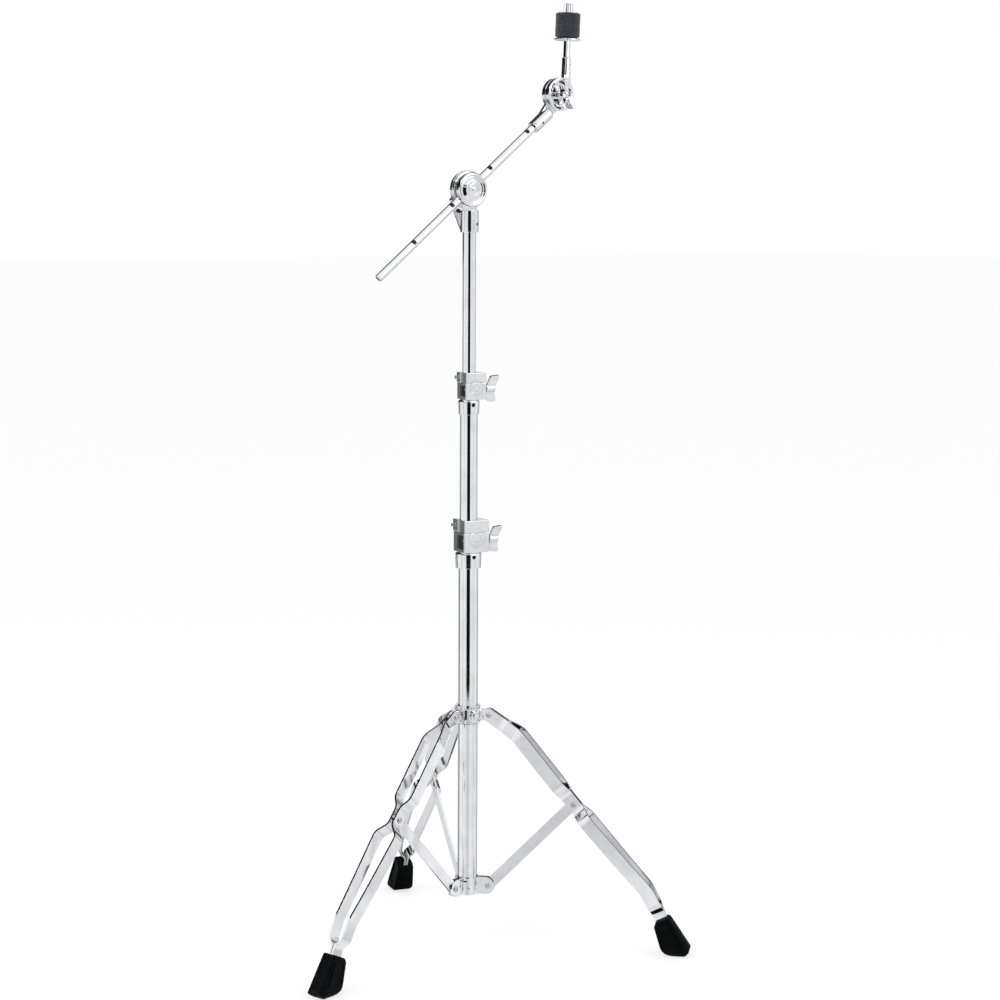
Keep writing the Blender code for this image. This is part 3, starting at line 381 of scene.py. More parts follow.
def piece(name, shape, body, material, *nodes, sharp=34):
    """Bakes a shape into the row frame as a finished piece on a body, in place of CAD nodes."""
    mesh = evaluated(shape)
    mesh.transform(shape.matrix_world)
    bpy.data.objects.remove(shape)
    mesh.name = name
    mesh.materials.clear()
    mesh.materials.append(material)
    mesh.shade_smooth()
    if sharp < 180:
        mesh.set_sharp_from_angle(angle=math.radians(sharp))
    made = linked(name, mesh)
    flats = made.modifiers.new("Flats", "WEIGHTED_NORMAL")
    flats.keep_sharp = True
    if nodes:
        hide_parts(*nodes)
    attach(made, body)
    return made


def skin(cad_node, shape, body, material, **options):
    """A piece that takes the place of one CAD node."""
    return piece(cad_node + "_skin", shape, body, material, cad_node, **options)


def arc(centre, radius, start, end, count):
    """Points of an arc in degrees, both ends included."""
    points = []
    for i in range(count + 1):
        a = math.radians(start + (end - start) * i / count)
        points.append((centre[0] + radius * math.cos(a), centre[1] + radius * math.sin(a)))
    return points


def circle(centre, radius, count=32):
    return arc(centre, radius, 0, 360, count)[:-1]


def rounded_bar(start, end, radius, count=16):
    """Outline of a flat bar with round ends."""
    angle = math.degrees(math.atan2(end[1] - start[1], end[0] - start[0]))
    return arc(start, radius, angle + 90, angle + 270, count) + arc(end, radius, angle - 90, angle + 90,
            count)


def in_mm(points):
    return [(x * MM, y * MM) for x, y in points]


# ---------------------------------------------------------------- column

TUBE_WALL = 1.2 * MM
BASE_R = 14.3 * MM
MIDDLE_R = 12.7 * MM
UPPER_R = 9.525 * MM


def column_tube(name, radius, body):
    """A seamless tube between the CAD tube's own ends."""
    low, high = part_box(name)
    inner = radius - TUBE_WALL
    profile = [(radius, high[2]), (radius, low[2]), (inner, low[2]), (inner, high[2])]
    skin(name, turned(profile, STAND, 128, True, 0.5 * MM), body, CHROME)


column_tube("base_tube", BASE_R, "root")
column_tube("middle_tube", MIDDLE_R, "middle")
column_tube("upper_tube", UPPER_R, "upper")

plug_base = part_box("base_tube")[0][2]
plug_r = BASE_R - TUBE_WALL - GAP
plug = [(0, plug_base + 8 * MM), (plug_r, plug_base + 8 * MM), (plug_r, plug_base - GAP),
        (BASE_R, plug_base - GAP), (BASE_R - 1.0 * MM, plug_base - 3 * MM), (9.0 * MM, plug_base - 3 * MM),
        (7.5 * MM, plug_base - 1.8 * MM), (0, plug_base - 1.8 * MM)]
skin("tube_end_plug", turned(plug, STAND, 64), "root", RUBBER)


# ---------------------------------------------------------------- tripod

PIVOT_R = 31.5 * MM
LOWER_PIVOT_Z = 90.0 * MM
LINK_LENGTH = 177.3 * MM
LINK_ANGLE = math.radians(44.4)
BRACE_PIVOT_R = PIVOT_R + LINK_LENGTH * math.sin(LINK_ANGLE)
BRACE_PIVOT_Z = LOWER_PIVOT_Z + LINK_LENGTH * math.cos(LINK_ANGLE)
COLLAR_PIVOT_Z = LOWER_PIVOT_Z + 2 * LINK_LENGTH * math.cos(LINK_ANGLE)
PIN_R = 3.0 * MM
PIN_HOLE_R = PIN_R + GAP
STRIP_WIDTH = 19.0 * MM
STRIP_THICKNESS = 3.0 * MM
PINCH = 3.5 * MM
LINK_THICKNESS = 2 * (PINCH - STRIP_THICKNESS / 2 - GAP)
HUB_PLATE = 2.5 * MM
HUB_PLATE_R = BASE_R + GAP + HUB_PLATE / 2
EAR_PITCH = LINK_THICKNESS / 2 + GAP + HUB_PLATE / 2
HUB_LOW = 78.0 * MM
HUB_HIGH = 103.0 * MM


def eased(points, reach, steps):
    """The path with each corner rounded by a curve that starts reach before it."""
    path = [Vector(points[0])]
    for before, corner, after in zip(points, points[1:], points[2:]):
        corner = Vector(corner)
        into = Vector(before) - corner
        out = Vector(after) - corner
        start = corner + into.normalized() * min(reach, into.length * 0.45)
        stop = corner + out.normalized() * min(reach, out.length * 0.45)
        for i in range(steps + 1):
            t = i / steps
            path.append(start * (1 - t) ** 2 + corner * 2 * t * (1 - t) + stop * t ** 2)
    path.append(Vector(points[-1]))
    return path


def round_end(radius, steps):
    """Distances from a strip's end and half widths there, for a half-round end."""
    ends = []
    for i in range(steps):
        a = math.radians(90 * (i + 0.25) / steps)
        ends.append((radius * (1 - math.cos(a)), radius * math.sin(a)))
    return ends


def strap(path, sideways, halves, thickness, within):
    """A bent flat bar along a path, with its edges rounded."""
    verts = []
    for point, side, half in zip(path, sideways, halves):
        verts += [point - side * half, point + side * half]
    faces = [(2 * i, 2 * i + 1, 2 * i + 3, 2 * i + 2) for i in range(len(path) - 1)]
    mesh = bpy.data.meshes.new("strap")
    mesh.from_pydata([tuple(v) for v in verts], [], faces)
    made = temp(mesh, (0, 0, 0), (0, 0, 0), within)
    sheet = made.modifiers.new("Sheet", "SOLIDIFY")
    sheet.thickness = thickness
    sheet.offset = 0
    sheet.use_even_offset = True
    rounded(made, 0.5 * MM, 2, 50)
    return baked(made)


def leg_path():
    """The strip's middle line as (radius, height, distance from the leg's centre plane)."""
    collar = Vector((PIVOT_R, COLLAR_PIVOT_Z))
    brace = Vector((BRACE_PIVOT_R, BRACE_PIVOT_Z))
    neck = collar + Vector((20.5, -13.8)) * MM
    knee = collar + Vector((43.0, -27.5)) * MM
    down = (brace - knee).normalized()
    ankle = Vector((232.0, 129.0)) * MM
    on = (ankle - brace).normalized()
    start = collar - (neck - collar).normalized() * STRIP_WIDTH / 2
    points = [
        (*start, PINCH),
        (*neck, PINCH),
        (*knee, 14.2 * MM),
        (*(brace - down * 31 * MM), 14.2 * MM),
        (*(brace - down * 17 * MM), PINCH),
        (*(brace + on * 12 * MM), PINCH),
        (*(brace + on * 27 * MM), 19.0 * MM),
        (*ankle, 15.0 * MM),
        mm(262.0, 96.0, 12.6),
        mm(276.0, 70.2, 11.0),
        mm(279.2, 63.6, 1.9),
        mm(293.0, 32.0, 1.9),
    ]
    return eased(points, 6.0 * MM, 6)


def pin_hole(r, z, within, reach=20 * MM):
    return rod(PIN_HOLE_R, -reach, reach, within, 24, 0, at=(r, 0, z), turn=TO_FRONT)


def leg_strip(number, letter, side, leg):
    path = leg_path()
    first = (path[1] - path[0]).normalized()
    ends = round_end(STRIP_WIDTH / 2, 9)
    path = [path[0] + first * distance for distance, half in ends] + path[1:]
    halves = [half for distance, half in ends] + [STRIP_WIDTH / 2] * (len(path) - len(ends))
    places = [Vector((r, side * t, z)) for r, z, t in path]
    across = []
    for i in range(len(path)):
        step = path[min(i + 1, len(path) - 1)] - path[max(i - 1, 0)]
        across.append(Vector((-step[1], 0, step[0])).normalized())
    strip = strap(places, across, halves, STRIP_THICKNESS, leg)
    cut(strip, pin_hole(BRACE_PIVOT_R, BRACE_PIVOT_Z, leg), pin_hole(PIVOT_R, COLLAR_PIVOT_Z, leg))
    name = f"leg_{number}_strip_{letter}"
    skin(name, strip, f"leg_{number}", CHROME, sharp=40)


def rivet(name, half_grip, body, within, r, z):
    """A rivet with two domed heads, each with a small dimple where it was set."""
    seat = half_grip + GAP
    dome = [(0, 1.1), (1.6, 1.15), (2.0, 1.9), (2.9, 2.0), (3.7, 1.5), (4.4, 0.4), (4.4, 0.0)]
    upper = [(x * MM, seat + h * MM) for x, h in dome]
    lower = [(x, -h) for x, h in reversed(upper)]
    profile = upper + [(PIN_R, seat), (PIN_R, -seat)] + lower
    made = turned(profile, within, 48, False, 0.35 * MM, at=(r, 0, z), turn=TO_FRONT)
    skin(name, made, body, STEEL)


def hub_plate(first):
    """One of the hub's stamped plates: a third of the way round the tube, with an ear at each end."""
    corner = math.degrees(math.asin(EAR_PITCH / HUB_PLATE_R))
    start = math.radians(first)
    stop = math.radians(first + 120)
    wrap = arc((0, 0), HUB_PLATE_R, first + corner, first + 120 - corner, 24)
    ear_a = Vector((math.cos(start), math.sin(start)))
    ear_b = Vector((math.cos(stop), math.sin(stop)))
    reach = PIVOT_R + 9.0 * MM
    tip_a = ear_a * reach + Vector((-ear_a.y, ear_a.x)) * EAR_PITCH
    tip_b = ear_b * reach - Vector((-ear_b.y, ear_b.x)) * EAR_PITCH
    half = (HUB_HIGH - HUB_LOW) / 2
    ends = round_end(half, 9)
    path = [tip_a - ear_a * d for d, h in ends] + [Vector(p) for p in wrap]
    path += [tip_b - ear_b * d for d, h in reversed(ends)]
    halves = [h for d, h in ends] + [half] * len(wrap) + [h for d, h in reversed(ends)]
    places = [Vector((p.x, p.y, (HUB_LOW + HUB_HIGH) / 2)) for p in path]
    sheet = strap(places, [Vector((0, 0, 1))] * len(path), halves, HUB_PLATE, STAND)
    for azimuth in (first, first + 120):
        cut(sheet, pin_hole(PIVOT_R, LOWER_PIVOT_Z, placed(STAND, turn=(0, 0, azimuth)), 7 * MM))
    return sheet


def foot_block(leg):
    """The foot's solid: where its outlines along, across and from outside the leg all meet."""
    sole = [(284.2, 12.6), (286.6, 8.6), (290.0, 5.2), (295.0, 2.2), (301.0, 0.6), (308.0, 0.0),
            (317.5, 0.0), (321.5, 2.6), (325.4, 6.6), (327.4, 13.2)]
    upper = [(299.4, 54.4), (297.6, 55.8), (292.5, 56.0), (277.0, 48.2), (274.8, 42.4)]
    body = plate(in_mm(sole + upper), 60 * MM, leg, turn=TO_FRONT)
    shoulder = arc((7.4, 8.0), 8.0, -90, 0, 8)
    half = [(y, z) for y, z in shoulder] + [(11.6, 56.4)]
    across = in_mm(half + [(-y, z) for y, z in reversed(half)])
    slab = plate(across, 90 * MM, leg, at=mm(300, 0, 0), turn=(90, 0, 90))
    lean = math.degrees(math.atan2(327.4 - 299.4, 54.4 - 13.2))
    corner = arc((-11.5, 3.9), 11.5, 0, 90, 12)
    round_outside = in_mm(corner + [(-60.0, 15.4), (-60.0, -15.4)] + [(x, -y) for x, y in reversed(corner)])
    column = plate(round_outside, 160 * MM, leg, at=(327.4 * MM, 0, 13.2 * MM), turn=(0, -lean, 0))
    return combine(body, [slab, column], "INTERSECT")


def foot(number, leg):
    """A moulded rubber foot with a grooved sole and a recessed, toothed panel on each side."""
    body = foot_block(leg)
    cast(body, 0.6 * MM, 7)
    end = (293.0 * MM, 0, 32.0 * MM)
    slope = math.degrees(math.atan2(63.6 - 32.0, 293.0 - 279.2))
    reach = STRIP_THICKNESS / 2 + 1.9 * MM + GAP
    half_width = STRIP_WIDTH / 2 + GAP
    cutters = [block((-60 * MM, GAP), (-reach, reach), (-half_width, half_width), leg, at=end,
            turn=(0, slope, 0))]
    grooves = [(284.6, 11.6, 38), (286.4, 8.7, 40), (288.8, 6.2, 46), (291.6, 4.0, 56), (295.0, 2.3, 66),
            (298.8, 1.1, 74), (302.8, 0.4, 82), (321.6, 2.6, -34), (324.0, 5.2, -44), (325.9, 8.6, -70)]
    for r, z, tilt in grooves:
        cutters.append(block(both(0.45), both(20), mm(-0.9, 0.7), leg, at=(r * MM, 0, z * MM),
                turn=(0, tilt - 90, 0)))
    cut_each(body, *cutters)
    rib = in_mm([(316.4, 16.5), (297.0, 50.0), (292.6, 50.8), (281.6, 44.6), (279.8, 41.0), (287.4, 15.0)])
    for side in (-1, 1):
        face = placed(leg, at=(0, side * 15.5 * MM, 6.5 * MM), turn=(side * 4.5, 0, 0))
        recess = plate([(r, z - 6.5 * MM) for r, z in rib], 1.8 * MM, face, edge=0.4 * MM, turn=TO_FRONT)
        cut(body, recess)
        teeth = []
        for i in range(7):
            level = (12.0 + 4.4 * i) * MM
            outer = (313.0 * MM) - (level - 10.0 * MM) * 0.58
            teeth.append(block(both(2.8), both(1.0), both(1.0), face, 0.45 * MM,
                    at=(outer, -side * 0.2 * MM, level), turn=(0, 30, 0)))
        fuse(body, *teeth)
    skin(f"rubber_foot_{number}", body, f"leg_{number}", RUBBER, sharp=50)


for number, azimuth in enumerate(LEG_AZIMUTHS, 1):
    leg = placed(STAND, turn=(0, 0, azimuth))
    leg_strip(number, "a", 1, leg)
    leg_strip(number, "b", -1, leg)
    bar = rounded_bar((PIVOT_R, LOWER_PIVOT_Z), (BRACE_PIVOT_R, BRACE_PIVOT_Z), 7.75 * MM)
    holes = [circle((PIVOT_R, LOWER_PIVOT_Z), PIN_HOLE_R),
            circle((BRACE_PIVOT_R, BRACE_PIVOT_Z), PIN_HOLE_R)]
    brace = plate(bar, LINK_THICKNESS, leg, holes, 0.45 * MM, turn=TO_FRONT)
    skin(f"brace_{number}", brace, f"brace_{number}", CHROME)
    plate_name = f"lower_hub_plate_{number}"
    skin(plate_name, hub_plate(azimuth), "root", CHROME, sharp=40)
    strip_grip = PINCH + STRIP_THICKNESS / 2
    rivet(f"brace_rivet_{number}", strip_grip, f"leg_{number}", leg, BRACE_PIVOT_R, BRACE_PIVOT_Z)
    rivet(f"collar_rivet_{number}", strip_grip, "collar", leg, PIVOT_R, COLLAR_PIVOT_Z)
    rivet(f"hub_rivet_{number}", EAR_PITCH + HUB_PLATE / 2, "root", leg, PIVOT_R, LOWER_PIVOT_Z)
    foot(number, leg)


# ---------------------------------------------------------------- leg collar and wing nuts

COLLAR_LOW = 332.0 * MM
COLLAR_HIGH = 357.0 * MM


def collar():
    """The sliding collar: flanges over and under a ribbed casting, with a tongue for each leg."""
    inner = BASE_R + GAP
    ring = in_mm([(18.2, 357.0), (18.2, 354.6), (17.0, 354.0), (17.0, 335.0), (18.2, 334.4), (18.2, 332.0)])
    body = turned(ring + [(inner, COLLAR_LOW), (inner, COLLAR_HIGH)], STAND, 96, True, 0.3 * MM)
    tools = []
    for azimuth in LEG_AZIMUTHS:
        leg = placed(STAND, turn=(0, 0, azimuth))
        root = [(BASE_R + 1.0 * MM, COLLAR_PIVOT_Z - 9 * MM), (BASE_R + 1.0 * MM, COLLAR_PIVOT_Z + 9 * MM)]
        nose = arc((PIVOT_R, COLLAR_PIVOT_Z), 7.5 * MM, 80, -80, 20)
        hole = circle((PIVOT_R, COLLAR_PIVOT_Z), PIN_HOLE_R)
        tools.append(plate(root + nose, LINK_THICKNESS, leg, [hole], 0.4 * MM, turn=TO_FRONT))
        for side in (-1, 1):
            gusset = placed(STAND, turn=(0, 0, azimuth + side * 17))
            tools.append(block(mm(15.4, 18.0), both(1.0), mm(333, 356), gusset, 0.5 * MM))
    screw = placed(STAND, at=(0, 0, (COLLAR_LOW + COLLAR_HIGH) / 2), turn=(0, 0, -100))
    tools.append(rod(6.0 * MM, BASE_R + 1.2 * MM, 24.0 * MM, screw, 40, 0.7 * MM, turn=TO_RIGHT))
    fuse(body, *tools)
    # The wing screw's boss takes the place of the two middle pockets after the last leg.
    pockets = [placed(STAND, turn=(0, 0, azimuth + step))
            for azimuth in LEG_AZIMUTHS for step in (30, 46, 74, 90)
            if azimuth != LEG_AZIMUTHS[2] or step not in (46, 74)]
    cut(body, rod(3.3 * MM, BASE_R - CUT, 26.0 * MM, screw, 24, 0, turn=TO_RIGHT))
    for pocket in pockets:
        cut(body, block(mm(16.0, 20), both(1.9), mm(337, 352), pocket, 0.7 * MM))
    skin("leg_collar", body, "collar", CAST, sharp=38)
    # Painted shade: thin dark sheets on the pocket floors, a dark ring under the top flange and a dark patch
    # on the flange rim that faces the camera.
    shades = []
    for pocket in pockets:
        shades.append(block(mm(15.8, 16.1), both(1.6), mm(337.6, 351.4), pocket))
    shades.append(turned(in_mm([(17.5, 354.5), (16.8, 354.5), (16.8, 353.7), (17.1, 353.7)]), STAND, 96,
            True, 0))
    shades.append(block(mm(17.9, 18.25), both(1.3), mm(354.9, 357.05),
            placed(STAND, turn=(0, 0, VIEW_AZIMUTH))))
    for number, shade in enumerate(shades, 1):
        piece(f"collar_painted_shade_{number}", shade, "collar", BLACK_AND_SHADE)
    # A dark nylon lip under the collar, which also paints the line of shade below the collar: partly a real
    # bushing, partly painted shade.
    shade_liner = in_mm([(inner / MM, 332.2), (inner / MM, 331.0), (16.6, 331.0), (17.2, 332.2)])
    piece("collar_shade_liner", turned(shade_liner, STAND, 96, True, 0), "collar", NYLON)
    return screw


def wing_nut(bore_r, within, scale=1.0, roll=0, shank=None, **place):
    """A cast wing nut on its own seat: a tapered hub with two flared, dished wings."""
    seat = placed(within, place["at"], place["turn"])
    unit = MM * scale
    hub = in_mm([(0, 14.6), (4.2, 14.6), (4.9, 13.6), (5.2, 1.8), (6.4, 0), (0, 0)])
    nut = turned([(r * scale, h * scale) for r, h in hub], seat, 48, False, 0.6 * MM)
    half = [(1.2, 5.0), (1.6, 10.0), (4.4, 18.4), (6.2, 19.5), (17.2, 20.5), (18.4, 19.3), (17.6, 14.0),
            (15.4, 8.6), (14.6, 4.6)]
    upper = [(x * unit, y * unit) for x, y in half]
    outline = upper + [(x, -y) for x, y in reversed(upper)]
    blades = plate(outline, 5.0 * unit, seat, edge=1.2 * MM, segments=3, turn=(0, -90, roll))
    baked(blades)
    ribs = []
    for wing in (-11.5, 11.5):
        for out in (7.0, 11.4):
            ribs.append(block(((out - 0.7) * unit, (out + 0.7) * unit),
                    ((wing - 3.4) * unit, (wing + 3.4) * unit), (-2.9 * unit, 2.9 * unit), seat, 0.6 * MM,
                    turn=(0, -90, roll)))
    fuse(nut, blades, *ribs)
    if shank:
        fuse(nut, rod(3.0 * MM, shank, 2 * MM, seat, 24, 0))
    cast(nut, 0.5 * MM, 5)
    if bore_r:
        cut(nut, rod(bore_r, -CUT, 30 * MM, seat, 32, 0))
    return nut


screw_frame = collar()
screw_head = wing_nut(None, screw_frame, 0.72, 90, BASE_R + GAP - 24.3 * MM, at=mm(24.3, 0, 0),
        turn=TO_RIGHT)
skin("collar_wing_screw", screw_head, "collar_screw", CAST, sharp=60)

# The small screw in the hub's front plate, and its vent slot, drawn as a thin dark slab that paints the slot's
# shade.
screw_place = placed(STAND, at=mm(0, 0, 88.5), turn=(0, 0, -120))
hub_face = HUB_PLATE_R + HUB_PLATE / 2
on_face = {"at": (hub_face, 0, 0), "turn": TO_RIGHT}
screw_dome = in_mm([(0, 1.1), (1.4, 1.05), (2.1, 0.5), (2.2, 0.0), (0, 0)])
screw_body = turned(screw_dome, screw_place, 32, False, 0.15 * MM, **on_face)
for half_x, half_y in ((1.5, 0.3), (0.3, 1.5)):
    cut(screw_body, block(both(half_x), both(half_y), mm(0.5, 2), screw_place, **on_face))
piece("hub_screw", screw_body, "root", STEEL)
slot_place = placed(STAND, at=mm(0, 0, 98.5), turn=(0, 0, -137))
# Painted shade: a thin dark slab on the plate's face in place of a cut vent slot.
piece("hub_slot_shade", block((hub_face - 0.3 * MM, hub_face + 0.06 * MM), both(2.4), both(1.2), slot_place,
        0.15 * MM, 2), "root", BLACK_AND_SHADE)


# ---------------------------------------------------------------- tube joints

BOLT_R = 2.4 * MM
BUSHING_WALL = 0.8 * MM
HINGE_R = 1.5 * MM
SINK = 0.1 * MM
LOWER_JOINT = {
    "name": "lower", "clamp": "root", "outer": BASE_R, "inner": MIDDLE_R, "low": 557.7, "base": 581.0,
    "split": 609.8, "top": 627.3, "skirt": (18.3, 18.9), "x": (-16.2, 24.1), "y": (-19.0, 15.4),
    "lock_x": (-15.4, 24.1), "lock_y": (-19.0, 19.0), "screw": 574.5,
    "rings": (mm(4.2, 602.5), mm(6.4, 11.6, 13.8)),
}
UPPER_JOINT = {
    "name": "upper", "clamp": "upper_clamp", "outer": MIDDLE_R, "inner": UPPER_R, "low": 778.3,
    "base": 800.0, "split": 823.9, "top": 838.2, "skirt": (14.5, 15.4), "x": (-12.6, 20.1), "y": (-15.9, 12.4),
    "lock_x": (-12.0, 20.1), "lock_y": (-15.9, 15.6), "screw": 792.5,
    "rings": (mm(4.0, 817.0), mm(5.0, 9.4, 11.2)),
}


def rings(centre, radii, y, within):
    """Fine circular grooves in a front face at y, about a point (x, z) of it."""
    cutters = []
    for radius in radii:
        profile = [(radius - 1.1 * MM, CUT), (radius + 1.1 * MM, CUT), (radius + 0.15 * MM, -0.7 * MM),
                (radius - 0.15 * MM, -0.7 * MM)]
        cutters.append(turned(profile, within, 72, True, 0, at=(centre[0], y, centre[1]), turn=TO_FRONT))
    return cutters


def tube_joint(j):
    name = j["name"]
    body = block(mm(*j["x"]), mm(*j["y"]), (j["base"] * MM, j["split"] * MM - GAP), CLAMP, 0.9 * MM, 4)
    bottom_r, top_r = mm(*j["skirt"])
    base, low = j["base"] * MM, j["low"] * MM
    shoulder = 5.0 * MM
    round_top = arc((top_r - shoulder, base - shoulder + 0.4 * MM), shoulder, 78, 4, 10)
    profile = [(0, base + MM), (top_r - shoulder, base + MM)] + round_top + [(bottom_r, low), (0, low)]
    fuse(body, turned(profile, CLAMP, 96, False, 0.5 * MM))
    inner = j["inner"] + GAP + BUSHING_WALL + GAP
    outer = j["outer"] + GAP
    top = j["split"] * MM + CUT
    step = base - 1.2 * MM
    bore = [(0, top), (inner, top), (inner, step), (outer, step), (outer, low - CUT), (0, low - CUT)]
    bolt_y = -(j["inner"] + GAP + BOLT_R)
    bolt_z = base + 0.64 * (j["split"] * MM - base)
    left, right = mm(*j["x"])
    front, back = mm(*j["y"])
    at_screw = (0, 0, j["screw"] * MM)
    pocket_y = (front + 0.8 * MM, front + 0.62 * (back - front))
    pocket_z = (base + 4.5 * MM, j["split"] * MM - 4.0 * MM)
    cutters = [
        turned(bore, CLAMP, 96, False, 0),
        rod(3.0 * MM, j["outer"] - CUT, top_r + CUT, CLAMP, 32, 0, at=at_screw, turn=TO_FRONT),
        rod(BOLT_R + GAP, -60 * MM, 60 * MM, CLAMP, 32, 0, at=(0, bolt_y, bolt_z), turn=TO_RIGHT),
        block((left - CUT, left + 1.6 * MM), pocket_y, pocket_z, CLAMP, 0.2 * MM),
    ]
    cut_each(body, *cutters, *rings(*j["rings"], front, CLAMP))
    piece(f"{name}_housing_skin", body, j["clamp"], CAST, f"{name}_clamp_housing", sharp=30)
    socket = in_mm([(0, 0.4), (1.5, 0.4), (1.5, 1.6), (2.7, 1.6), (2.9, 1.2), (2.9, 0), (0, 0)])
    place = {"at": (0, -(j["outer"] + 0.4 * MM), j["screw"] * MM), "turn": TO_FRONT}
    set_screw = turned(socket, CLAMP, 48, False, 0.1 * MM, **place)
    piece(f"{name}_set_screw", set_screw, j["clamp"], BLACK_AND_SHADE)
    # Painted shade: a thin dark sheet on the floor of the bolt pocket.
    shade = block((left + 1.5 * MM, left + 1.7 * MM), (pocket_y[0] + 0.3 * MM, pocket_y[1] - 0.3 * MM),
            (pocket_z[0] + 0.3 * MM, pocket_z[1] - 0.3 * MM), CLAMP)
    cut(shade, rod(BOLT_R + GAP, -60 * MM, 60 * MM, CLAMP, 32, 0, at=(0, bolt_y, bolt_z), turn=TO_RIGHT))
    piece(f"{name}_pocket_painted_shade", shade, j["clamp"], BLACK_AND_SHADE)
    tail = left + 0.5 * MM
    bolt = [(0, right + 14.0 * MM), (BOLT_R * 0.8, right + 14.0 * MM), (BOLT_R, right + 13.0 * MM),
            (BOLT_R, tail + 0.4 * MM), (BOLT_R * 0.8, tail), (0, tail)]
    shape = turned(bolt, CLAMP, 40, False, 0.3 * MM, at=(0, bolt_y, bolt_z), turn=TO_RIGHT)
    skin(f"{name}_draw_bolt", shape, j["clamp"], STEEL)
    nut = wing_nut(BOLT_R + GAP, CLAMP, 1.0, 110, at=(right + GAP, bolt_y, bolt_z), turn=TO_RIGHT)
    skin(f"{name}_wing_nut", nut, f"{name}_nut", CAST, sharp=60)
    memory_lock(j)


def memory_lock(j):
    """Two half blocks round the tube, hinged on the left, with grip lines across the front."""
    name = j["name"]
    x, y = mm(*j["lock_x"]), mm(*j["lock_y"])
    z = mm(j["split"], j["top"])
    middle = (z[0] + z[1]) / 2
    knuckle = (z[1] - z[0]) / 6
    lug = knuckle + GAP
    post_x = x[0] - 0.1 * MM

    def pin(radius, low, high, edge=0.0):
        return rod(radius, low, high, CLAMP, 32, edge, at=(post_x, 0, 0))

    def bore():
        return rod(j["inner"] + GAP, z[0] - CUT, z[1] + CUT, CLAMP, 96, 0)

    rear = block(x, (GAP / 2, y[1]), z, CLAMP, 0.8 * MM, 4)
    lead = block(x, (y[0], -GAP / 2), z, CLAMP, 0.8 * MM, 4)
    key_y = y[1] - 3.0 * MM
    cut(rear, pin(HINGE_R + GAP, middle + knuckle, z[1] + CUT))
    cut(rear, pin(HINGE_R + GAP, z[0] - CUT, middle - knuckle))
    cut(rear, rod(1.9 * MM, -8 * MM, 8 * MM, CLAMP, 24, 0, at=(x[0], key_y, middle), turn=TO_RIGHT))
    cut(rear, bore())
    fuse(rear, pin(HINGE_R, middle - knuckle + SINK, middle + knuckle - SINK, 0.2 * MM))
    cut_each(lead, pin(HINGE_R + GAP, middle - lug, middle + lug), bore(), *rings(*j["rings"], y[0], CLAMP))
    fuse(lead, pin(HINGE_R, middle + lug + SINK, z[1] - GAP, 0.2 * MM),
            pin(HINGE_R, z[0] + GAP, middle - lug - SINK, 0.2 * MM))
    skin(f"{name}_lock_back", rear, f"{name}_lock", CAST, sharp=30)
    skin(f"{name}_lock_front", lead, f"{name}_gate", CAST, sharp=30)
    key = in_mm([(0, 7.5), (1.6, 7.5), (1.6, -0.3), (2.4, -0.3), (2.4, -3.6), (0, -3.6)])
    screw = turned(key, CLAMP, 32, False, 0.25 * MM, at=(x[0], key_y, middle), turn=TO_RIGHT)
    piece(f"{name}_key_screw_skin", screw, f"{name}_lock", STEEL, f"{name}_lock_key_screw")


tube_joint(LOWER_JOINT)
tube_joint(UPPER_JOINT)


# ---------------------------------------------------------------- boom

ROD_R = 5.55 * MM
SOCKET_R = 13.0 * MM
SOCKET_LOW = 1036.3 * MM
SOCKET_HIGH = 1067.0 * MM
PIVOT_Z = 1096.0 * MM
DISC_R = 27.0 * MM
CAP_R = 24.6 * MM
EYE_R = 8.0 * MM


